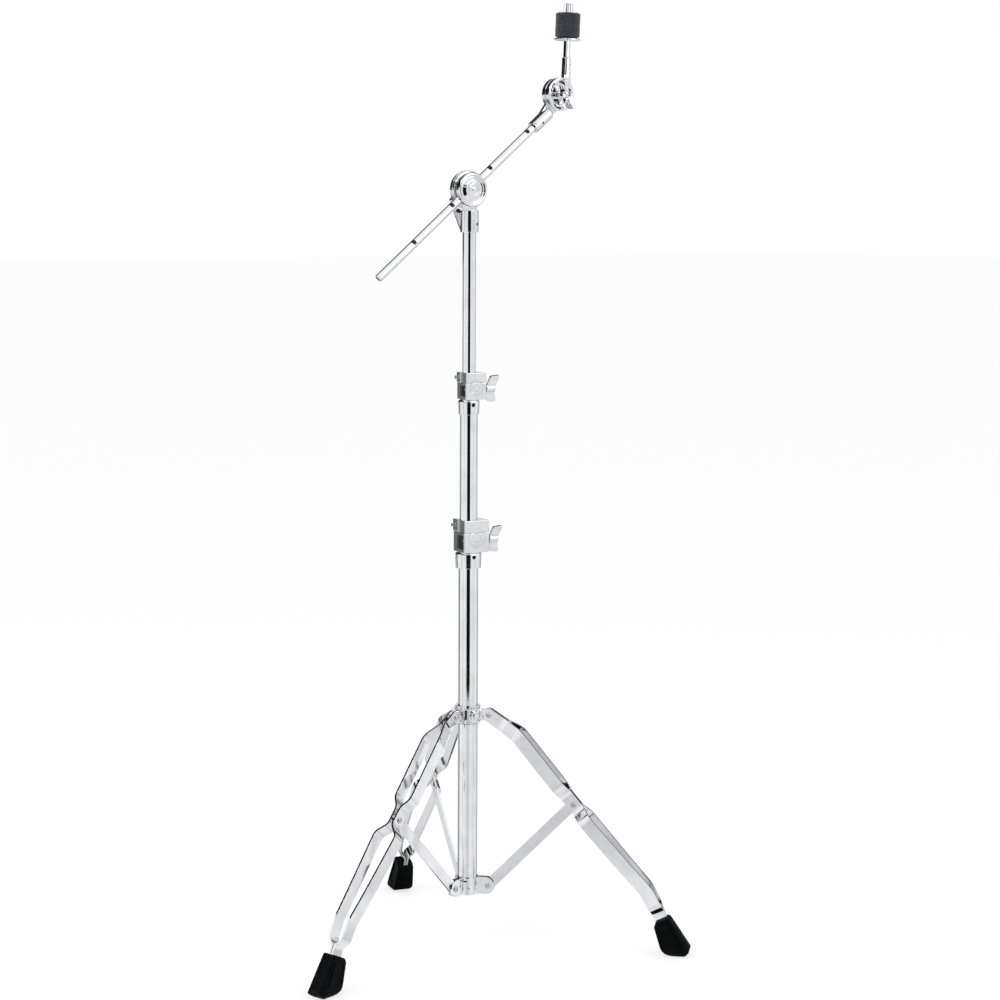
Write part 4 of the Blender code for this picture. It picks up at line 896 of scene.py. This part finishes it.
def boom_bracket():
    """Socket on the upper tube, a plate that flares up from it, and the rear disc."""
    low, high = SOCKET_LOW, SOCKET_HIGH
    profile = [(0, high), (SOCKET_R, high), (SOCKET_R, low), (0, low)]
    body = turned(profile, STAND, 96, False, 0.8 * MM)
    near, far = 8.3 * MM, 12.8 * MM
    outline = [(-8 * MM, low + 4 * MM), (8 * MM, low + 4 * MM), (21 * MM, high + 2 * MM),
            (21 * MM, high + 9 * MM), (-21 * MM, high + 9 * MM), (-21 * MM, high + 2 * MM)]
    flare = plate(outline, far - near, STAND, edge=0.8 * MM, segments=3, at=(0, (near + far) / 2, 0),
            turn=TO_FRONT)
    rim = DISC_R - 1.5 * MM
    edge = [(0, far), (rim - 0.5 * MM, far), (rim, far - 0.6 * MM), (rim, near + 0.5 * MM),
            (rim - 0.5 * MM, near), (0, near)]
    disc = turned(edge, STAND, 128, False, 0.3 * MM, at=(0, 0, PIVOT_Z), turn=TO_BACK)
    fuse(body, flare, disc)
    cut_each(body, rod(4.3 * MM, 0, 20 * MM, STAND, 32, 0, at=(0, 0, PIVOT_Z), turn=TO_BACK),
            rod(UPPER_R + GAP, low - CUT, 1063.3 * MM, STAND, 96, 0),
            rod(2.2 * MM, UPPER_R - CUT, SOCKET_R + CUT, STAND, 32, 0, at=(0, 0, low + 11.5 * MM),
            turn=(0, 90, -68)))
    skin("boom_bracket", body, "bracket", CAST, sharp=30)
    socket = in_mm([(0, 0.4), (1.1, 0.4), (1.1, 1.4), (1.9, 1.4), (2.1, 1.1), (2.1, 0), (0, 0)])
    hole = placed(STAND, at=(0, 0, low + 11.5 * MM), turn=(0, 0, -68))
    screw = turned(socket, hole, 32, False, 0.1 * MM, at=(UPPER_R + 0.4 * MM, 0, 0), turn=TO_RIGHT)
    piece("socket_set_screw", screw, "bracket", BLACK_AND_SHADE)
    head = in_mm([(0, 0.7), (1.2, 0.7), (1.2, 1.6), (2.6, 1.5), (3.0, 1.0), (3.0, 0), (0, 0)])
    place = {"at": (-13.5 * MM, near, high - 0.5 * MM), "turn": TO_FRONT}
    plate_screw = turned(head, STAND, 40, False, 0.15 * MM, **place)
    piece("bracket_plate_screw", plate_screw, "bracket", BLACK_AND_SHADE)


def cut_rod_and_eye(half):
    """The groove for the boom rod and the pocket for the eye bolt, in either clamp half."""
    cut(half, rod(ROD_R + GAP, -60 * MM, 60 * MM, BOOM, 64, 0, turn=TO_RIGHT))
    cut(half, rod(EYE_R + GAP, -10 * MM, 8.3 * MM, BOOM, 48, 0, turn=TO_FRONT))


def boom_clamp():
    """The rod's two clamp halves, a ridged disc behind and a dished cap in front, and their nut."""
    ridges = in_mm([(0, 8.0), (26.4, 8.0), (27.0, 7.4), (27.0, 5.0), (25.8, 4.5), (25.8, 3.9), (27.0, 3.4),
            (27.0, 0.9), (26.4, 0.3), (0, 0.3)])
    rear = turned(ridges, BOOM, 128, False, 0.3 * MM, turn=TO_BACK)
    cut_rod_and_eye(rear)
    piece("clamp_rear_skin", rear, "clamp", CAST, "boom_clamp_rear", sharp=30)
    face = in_mm([(0, 13.0), (2.4, 12.9), (3.2, 12.3), (3.6, 11.7), (7.2, 11.7), (7.5, 12.3), (8.2, 12.3),
            (8.6, 11.4), (13.6, 11.2), (18.4, 8.2), (19.4, 8.4), (20.6, 10.5), (21.6, 10.7), (23.0, 10.3),
            (24.2, 9.0), (24.6, 7.6), (24.6, 0.9), (24.0, 0.3), (0, 0.3)])
    cap = turned(face, BOOM, 128, False, 0.5 * MM, turn=TO_FRONT)
    cut_rod_and_eye(cap)
    piece("clamp_cap_skin", cap, "clamp", CAST, "boom_clamp_cap", sharp=30)
    nut = wing_nut(4.3 * MM, PIVOT, 1.0, 0, at=mm(0, 13.1, 0), turn=(-90, 35, 0))
    skin("boom_wing_nut", nut, "boom_nut", CAST, sharp=60)


boom_bracket()
boom_clamp()


# ---------------------------------------------------------------- cymbal tilter

TILTER_R = 23.5 * MM
TILTER_HALF = 8.75 * MM


def tilter_disc(turn, face):
    """One half of the tilter's drum, with a plain rim and its face's own profile."""
    rim = [(TILTER_R, 7.6), (TILTER_R, 0.7), (TILTER_R - 0.5 * MM, 0.15)]
    profile = in_mm(face) + [(r, z * MM) for r, z in rim] + [(0, 0.15 * MM)]
    return turned(profile, HUB, 128, False, 0.35 * MM, turn=turn)


def lower_arm():
    low, high = 144.0 * MM, 182.0 * MM
    body = tilter_disc(TO_BACK, [(0, 8.75), (20.8, 8.75), (22.3, 8.5)])
    sleeve = in_mm([(0, 182.0), (6.6, 182.0), (9.0, 179.0), (9.0, 148.0), (8.4, 147.4), (8.4, 146.4),
            (9.0, 145.8), (9.0, 144.0), (0, 144.0)])
    neck = [(high - 12 * MM, -7.5 * MM), mm(216, -10), mm(206, 16), (high - 12 * MM, 7.0 * MM)]
    web = plate(neck, 6.0 * MM, BOOM, edge=0.8 * MM, segments=3, at=mm(0, 4.4, 0), turn=TO_FRONT)
    barrel = turned(sleeve, BOOM, 64, False, 0.4 * MM, turn=TO_RIGHT)
    cut(barrel, block(mm(140, 190), both(12), mm(7.3, 12), BOOM))
    fuse(body, barrel, web)
    cut_each(body, rod(ROD_R + GAP, low - CUT, 178.3 * MM, BOOM, 64, 0, turn=TO_RIGHT),
            rod(1.9 * MM, ROD_R, 10 * MM, BOOM, 24, 0, at=(low + 14 * MM, 0, 0), turn=(100, 0, 0)),
            rod(3.3 * MM, -30 * MM, 30 * MM, HUB, 32, 0, turn=TO_FRONT))
    piece("lower_arm_skin", body, "boom", CAST, "tilter_lower_arm", sharp=30)
    hole = placed(BOOM, at=(low + 14 * MM, 0, 0), turn=(100, 0, 0))
    socket = in_mm([(0, 0.3), (0.9, 0.3), (0.9, 1.2), (1.6, 1.2), (1.8, 0.9), (1.8, 0), (0, 0)])
    screw = turned(socket, hole, 32, False, 0.1 * MM, at=(0, 0, ROD_R + 0.4 * MM))
    piece("arm_set_screw", screw, "boom", BLACK_AND_SHADE)


def upper_arm():
    body = tilter_disc(TO_FRONT, [(0, 6.6), (15.6, 6.6), (16.4, 7.0), (18.4, 8.6), (21.6, 8.75),
            (23.0, 8.3)])
    sleeve = in_mm([(0, 54.0), (5.4, 54.0), (6.2, 53.0), (6.2, 25.0), (0, 25.0)])
    neck = in_mm([(7.6, 29.0), (2.0, 12.0), (21.0, 4.0), (18.4, 29.0)])
    web = plate(neck, 4.6 * MM, HUB, edge=0.7 * MM, segments=3, at=mm(0, -3.2, 0), turn=TO_FRONT)
    bosses = [rod(2.0 * MM, 0, 7.3 * MM, HUB, 24, 0.4 * MM, at=(13 * MM, 0, z * MM), turn=(0, 90, -60))
            for z in (33.0, 45.0)]
    seat = rod(7.4 * MM, 6.0 * MM, TILTER_HALF, HUB, 48, 0.4 * MM, turn=TO_FRONT)
    fuse(body, turned(sleeve, HUB, 64, False, 0.4 * MM, at=mm(13, 0, 0)), web, seat, *bosses)
    cut_each(body, rod(5.0 * MM, 30.7 * MM, 56 * MM, HUB, 48, 0, at=mm(13, 0, 0)),
            rod(3.3 * MM, -30 * MM, 30 * MM, HUB, 32, 0, turn=TO_FRONT))
    piece("upper_arm_skin", body, "tilter", CAST, "tilter_upper_arm", sharp=30)


lower_arm()
upper_arm()
front = TILTER_HALF / MM + 15.0
back = -(TILTER_HALF / MM + 0.3)
bolt = in_mm([(0, front), (2.4, front), (3.0, front - 1), (3.0, back), (6.0, back), (5.6, back - 2.4),
        (3.6, back - 3.4), (3.2, back - 2.2), (0, back - 2.2)])
skin("tilter_bolt", turned(bolt, HUB, 48, False, 0.3 * MM, turn=TO_FRONT), "tilter", STEEL)
nut = wing_nut(3.3 * MM, HUB, 1.08, 0, at=(0, -TILTER_HALF - GAP, 0), turn=(90, -24, 0))
skin("tilter_wing_nut", nut, "tilter_nut", CAST, sharp=60)


# ---------------------------------------------------------------- cymbal seat

SHOULDER = 81.2
SEAT = SHOULDER + 0.3
BASE = SEAT + 1.9
FELT_H = 16.5
FELT_R = 18.0
SLEEVE_R = 6.0


def threaded(profile, start, end, pitch, depth, within):
    """A turned rod whose outer points between two heights follow a screw thread."""
    shape = turned(profile, within, 48, False, 0.2 * MM)
    form = bmesh.new()
    form.from_mesh(shape.data)
    cuts = int((end - start) / (pitch / 6))
    for i in range(cuts + 1):
        level = start + (end - start) * i / cuts
        bmesh.ops.bisect_plane(form, geom=form.verts[:] + form.edges[:] + form.faces[:],
                plane_co=(0, 0, level), plane_no=(0, 0, 1))
    for vert in form.verts:
        reach = math.hypot(vert.co.x, vert.co.y)
        if reach > 1.0 * MM and start - 1e-7 < vert.co.z < end + 1e-7:
            phase = vert.co.z / pitch - math.atan2(vert.co.y, vert.co.x) / (2 * math.pi)
            wave = abs((phase % 1.0) * 2 - 1)
            vert.co.x *= 1 - depth * wave / reach
            vert.co.y *= 1 - depth * wave / reach
    form.to_mesh(shape.data)
    form.free()
    return shape


rod_profile = in_mm([(0, 131.0), (3.0, 131.0), (4.0, 130.0), (4.0, SHOULDER), (4.7, SHOULDER), (4.7, 31.0),
        (0, 31.0)])
cymbal_rod = threaded(rod_profile, 112 * MM, 129.5 * MM, 1.25 * MM, 0.55 * MM, AXIS)
skin("cymbal_rod", cymbal_rod, "tilter", CHROME, sharp=45)
washer = in_mm([(4.3, SEAT + 1.6), (9.0, SEAT + 1.35), (14.0, SEAT + 0.5), (17.6, SEAT - 0.6),
        (19.5, SEAT - 1.6), (19.5, SEAT - 2.8), (17.4, SEAT - 1.9), (14.0, SEAT - 0.9), (9.0, SEAT - 0.1),
        (4.3, SEAT)])
skin("cup_washer", turned(washer, AXIS, 96, True, 0.25 * MM), "tilter", CHROME, sharp=50)
sleeve = in_mm([(SLEEVE_R, BASE), (4.3, BASE), (4.3, BASE + 33.3), (SLEEVE_R, BASE + 33.3)])
skin("cymbal_sleeve", turned(sleeve, AXIS, 64, True, 0.3 * MM), "tilter", NYLON)


def felt(name, bottom, seed):
    """A cut wool felt: worn round edges, slightly proud sides and a matted, uneven surface."""
    inner = SLEEVE_R + 0.3
    top = bottom + FELT_H
    rows = 22
    side = []
    for i in range(rows + 1):
        t = i / rows
        edge = min(t, 1 - t) * FELT_H
        pull = 0.38 * math.exp(-edge / 0.5) + 0.10 * math.exp(-edge / 3.0)
        side.append((FELT_R - 0.15 - pull, top - FELT_H * t))
    across = 10
    lid = [(inner + (FELT_R - 1.2 - inner) * i / across, top) for i in range(across)]
    under = [(inner + (FELT_R - 1.2 - inner) * i / across, bottom) for i in reversed(range(across))]
    shape = turned(in_mm(lid + side + under), AXIS, 160, True, 0)
    for vert in shape.data.vertices:
        reach = math.hypot(vert.co.x, vert.co.y)
        if reach < (inner + 1.0) * MM:
            continue
        place = Vector(vert.co) / MM
        lump = noise.noise(place * 0.22 + Vector((seed, 0, 0)))
        fuzz = noise.noise(place * 1.3 + Vector((0, seed, 0))) + 0.6 * noise.noise(place * 3.1)
        move = -0.10 * MM + 0.12 * MM * lump + 0.10 * MM * fuzz
        on_side = reach > (FELT_R - 1.3) * MM
        if on_side:
            vert.co.x *= 1 + move / reach
            vert.co.y *= 1 + move / reach
        else:
            vert.co.z += min(move, 0) * (1 if vert.co.z > (bottom + FELT_H / 2) * MM else -1)
    made = piece(name + "_pad", shape, "tilter", FELT, name, sharp=180)


felt("lower_felt", BASE, 3.0)
felt("upper_felt", BASE + FELT_H + 0.3, 11.0)


def top_nut():
    """The broad cast wing nut over the felts, with a flange, fluted hub and ribbed flared wings."""
    seat = placed(AXIS, at=(0, 0, (BASE + 2 * FELT_H + 0.9) * MM), turn=(0, 0, -36))
    hub = in_mm([(0, 13.5), (5.6, 13.5), (6.8, 12.5), (6.8, 2.8), (13.4, 1.6), (14.0, 1.0), (14.0, 0),
            (0, 0)])
    nut = turned(hub, seat, 64, False, 0.5 * MM)
    half = [(4.0, 1.0), (15.0, 1.0), (18.6, 2.2), (19.8, 3.6), (21.0, 9.0), (22.3, 16.0), (21.6, 17.1),
            (13.0, 17.1), (12.0, 16.2), (9.5, 12.6), (4.0, 12.6)]
    right = in_mm(half)
    outline = [(-x, z) for x, z in reversed(right)] + right
    wings = plate(outline, 4.2 * MM, seat, edge=0.9 * MM, segments=3, turn=TO_FRONT)
    baked(wings)
    ribs = []
    for sign in (-1, 1):
        for x, low, high in ((9.4, 2.0, 12.0), (20.0, 5.0, 16.6)):
            ribs.append(block((sign * x * MM - 0.8 * MM, sign * x * MM + 0.8 * MM), both(2.7),
                    (low * MM, high * MM), seat, 0.6 * MM))
    for turn in range(0, 360, 45):
        if turn % 180:
            ribs.append(block(mm(5.6, 7.5), both(1.0), mm(2.0, 12.6), placed(seat, turn=(0, 0, turn)),
                    0.5 * MM))
    fuse(nut, wings, *ribs)
    cast(nut, 0.45 * MM, 4)
    cut(nut, rod(4.3 * MM, -CUT, 30 * MM, seat, 48, 0))
    piece("cymbal_nut_skin", nut, "top_nut", CAST, "cymbal_wing_nut", sharp=60)


top_nut()


# ---------------------------------------------------------------- boom rod

ROD_X = mm(-200.0, 178.0)
BAND_X = (-122.8, -39.4, 45.7, 130.5)     # index bands, in mm from the pivot
profile = [(0, ROD_X[1]), (ROD_R, ROD_X[1]), (ROD_R, ROD_X[0] + 1.6 * MM), (ROD_R - 1.6 * MM, ROD_X[0]),
        (0, ROD_X[0])]
skin("boom_rod", turned(profile, BOOM, 96, turn=TO_RIGHT), "boom", CHROME)
for number, middle in enumerate(BAND_X, 1):
    outer, inner = ROD_R + 0.05 * MM, ROD_R - 0.05 * MM
    low, high = mm(middle - 3, middle + 3)
    mark = turned([(outer, high), (outer, low), (inner, low), (inner, high)], BOOM, 96, True, 0,
            turn=TO_RIGHT)
    # Each band is kept only on the rod's upper front quarter, where the rod shows shade: the black bands are
    # real, and keeping them to that side paints shade there.
    span = mm(middle - 5, middle + 5)
    cut(mark, block(span, both(9), mm(-9, 0.6), BOOM), block(span, mm(2, 9), both(9), BOOM))
    piece(f"index_band_shaded_side_{number}", mark, "boom", BLACK_AND_SHADE)


# ---------------------------------------------------------------- stage, light and camera

COLUMN = STAND.to_translation()


def emitter(name, colour):
    material = bpy.data.materials.new(name)
    material.use_nodes = True
    tree = material.node_tree
    tree.nodes.clear()
    glow = node(tree, "Emission", in_Color=(*colour, 1), in_Strength=1.0)
    node(tree, "OutputMaterial", {"Surface": glow.outputs[0]})
    return material


def card(name, azimuth, distance, half_width, low, high, tone):
    """A flat studio card that only mirrors see; azimuth is in degrees from +X about the column."""
    mesh = bpy.data.meshes.new(name)
    mesh.from_pydata([(distance, -half_width, low), (distance, half_width, low),
            (distance, half_width, high), (distance, -half_width, high)], [], [(0, 1, 2, 3)])
    mesh.materials.append(emitter(name + "_tone", (tone, tone, tone * 1.04)))
    made = linked(name, mesh)
    made.location = COLUMN
    made.rotation_euler = (0, 0, math.radians(azimuth))
    made.visible_camera = False
    made.visible_diffuse = False
    made.visible_shadow = False
    made.visible_transmission = False
    return made


card("front_flag", VIEW_AZIMUTH + 2.2, 1.8, 0.64, 0.0, 1.50, 0.004)
card("top_flag", VIEW_AZIMUTH, 1.8, 0.50, 1.66, 2.70, 0.006)
card("left_flag", VIEW_AZIMUTH - 80, 1.8, 2.6, 1.41, 2.8, 0.008)

# What mirrors see round the room: tone by direction in degrees from the camera's, positive
# to its right. Pale soft boxes with darker gaps, as round a real product table.
FLOOR = [(-180, 0.80), (-168, 0.60), (-157, 0.05), (-150, 0.70), (-134, 0.85), (-131, 0.16), (-114, 0.16),
        (-108, 0.85), (-72, 1.00), (-60, 0.70), (-50, 0.95), (-30, 0.90), (0, 0.62), (32, 0.90), (48, 0.88),
        (58, 0.80), (74, 0.80), (100, 0.95), (124, 0.60), (140, 0.75), (150, 0.10), (158, 0.05),
        (168, 0.60), (180, 0.80)]
LEVEL = [(-180, 0.75), (-170, 0.50), (-160, 0.04), (-136, 0.05), (-133, 0.10), (-104, 0.06), (-98, 0.80),
        (-72, 1.00), (-60, 0.70), (-50, 0.95), (-30, 0.90), (0, 0.62), (32, 0.90), (48, 0.80), (58, 0.70),
        (74, 0.80), (100, 0.95), (124, 0.60), (140, 0.70), (148, 0.08), (158, 0.04), (170, 0.50),
        (180, 0.75)]
RAISED = [(-180, 0.25), (-165, 0.05), (-112, 0.03), (-104, 0.70), (-85, 1.00), (0, 0.95), (90, 1.00),
        (125, 0.55), (140, 0.30), (150, 0.05), (166, 0.05), (180, 0.25)]


def room_tone(tree, direction, tables):
    """The room's tones seen along a direction vector, one for each table, and its parts."""
    turn = node(tree, "Mapping", {"Vector": direction}, vector_type="POINT",
            in_Rotation=(0, 0, math.radians(-VIEW_AZIMUTH)))
    split = node(tree, "SeparateXYZ", {0: turn.outputs["Vector"]})
    angle = node(tree, "Math", {0: split.outputs["Y"], 1: split.outputs["X"]}, operation="ARCTAN2")
    share = ranged(tree, angle.outputs[0], -math.pi, math.pi)
    tones = []
    for table in tables:
        stops = [((degrees + 180) / 360, (tone, tone, tone * 1.02)) for degrees, tone in table]
        tones.append(ramp(tree, share, stops))
    return tones, split


def mixed(tree, factor, low, high):
    made = node(tree, "MixRGB", {"Fac": factor})
    for socket, value in (("Color1", low), ("Color2", high)):
        if isinstance(value, tuple):
            made.inputs[socket].default_value = value
        else:
            tree.links.new(value, made.inputs[socket])
    return made.outputs["Color"]


WHITE = (1, 1, 1, 1)
FLOOR_GLOW = 0.7             # how much of the floor is its own light, so that shadows stay faint
FLOOR_HALF = 40
corners = [(x * FLOOR_HALF, y * FLOOR_HALF, 0) for x, y in ((-1, -1), (1, -1), (1, 1), (-1, 1))]
floor_mesh = bpy.data.meshes.new("floor")
floor_mesh.from_pydata(corners, [], [(0, 1, 2, 3)])
floor = linked("floor", floor_mesh)
floor.location = COLUMN
floor_material, tree, floor_shader = new_material("pale_floor", Roughness=0.9, Specular_IOR_Level=0.1)
floor_shader.inputs["Base Color"].default_value = (0.93, 0.93, 0.935, 1)
(tone,), split = room_tone(tree, node(tree, "TexCoord").outputs["Object"], [FLOOR])
mirrored = node(tree, "LightPath").outputs["Is Glossy Ray"]
glow = node(tree, "Emission", {"Color": mixed(tree, mirrored, WHITE, tone)}, in_Strength=1.0)
share = node(tree, "Math", {0: mirrored}, operation="MAXIMUM")
share.inputs[1].default_value = FLOOR_GLOW
blend = node(tree, "MixShader", {"Fac": share.outputs[0], 1: floor_shader.outputs[0], 2: glow.outputs[0]})
tree.links.new(blend.outputs[0], tree.nodes["Material Output"].inputs["Surface"])
floor_mesh.materials.append(floor_material)

world = bpy.data.worlds.new("studio")
bpy.context.scene.world = world
world.use_nodes = True
tree = world.node_tree
background = tree.nodes["Background"]
(seen, raised), split = room_tone(tree, node(tree, "TexCoord").outputs["Generated"], [LEVEL, RAISED])
for low, high, above in ((0.22, 0.34, raised), (0.84, 0.95, WHITE)):
    seen = mixed(tree, ranged(tree, split.outputs["Z"], low, high), seen, above)
mirrored = node(tree, "LightPath").outputs["Is Glossy Ray"]
tree.links.new(mixed(tree, mirrored, WHITE, seen), background.inputs["Color"])
background.inputs["Strength"].default_value = 1.0


def soft_light(name, azimuth, distance, height_z, size, power):
    light = bpy.data.lights.new(name, "AREA")
    light.shape = "RECTANGLE"
    light.size = size
    light.size_y = size
    light.energy = power
    made = linked(name, light)
    a = math.radians(azimuth)
    made.location = COLUMN + Vector((distance * math.cos(a), distance * math.sin(a), height_z))
    aim = COLUMN + Vector((0, 0, 0.7)) - made.location
    made.rotation_euler = aim.to_track_quat("-Z", "Y").to_euler()


soft_light("key", VIEW_AZIMUTH - 50, 2.6, 2.9, 1.8, 35)
soft_light("fill", VIEW_AZIMUTH + 60, 2.8, 2.2, 1.8, 15)

# The camera looks 6.9 degrees down, with a slight pan and roll.
PITCH = math.radians(6.913)
PAN = math.radians(0.747)
ROLL = math.radians(0.280)
HEADING = Matrix.Rotation(math.radians(-37.0), 3, "Z")
forward = Vector((math.sin(PAN) * math.cos(PITCH), math.cos(PAN) * math.cos(PITCH), -math.sin(PITCH)))
level = Vector((math.cos(PAN), -math.sin(PAN), 0))
upright = level.cross(forward)
right = level * math.cos(ROLL) + upright * math.sin(ROLL)
up = upright * math.cos(ROLL) - level * math.sin(ROLL)
axes = Matrix((HEADING @ right, HEADING @ up, HEADING @ -forward)).transposed()
camera_data = bpy.data.cameras.new("camera")
camera_data.lens = 87.0
camera_data.sensor_width = 36.0
camera = linked("camera", camera_data)
camera.matrix_world = Matrix.Translation(COLUMN + Vector((-2.068, -2.745, 1.072))) @ axes.to_4x4()
bpy.context.scene.camera = camera
bpy.context.scene.view_settings.view_transform = "Standard"

# CAD nodes that keep their own mesh still get a finished material.
SHOWN_MATERIAL = {"chrome": CAST, "steel": STEEL, "rubber": RUBBER, "nylon": NYLON, "felt": FELT}
slots = {entry["node"]: entry["material_slot"] for entry in frame["record"]["subparts"]}
for name, obj in frame["nodes"].items():
    obj.data.materials.clear()
    obj.data.materials.append(SHOWN_MATERIAL[slots[name]])

bpy.context.view_layer.update()
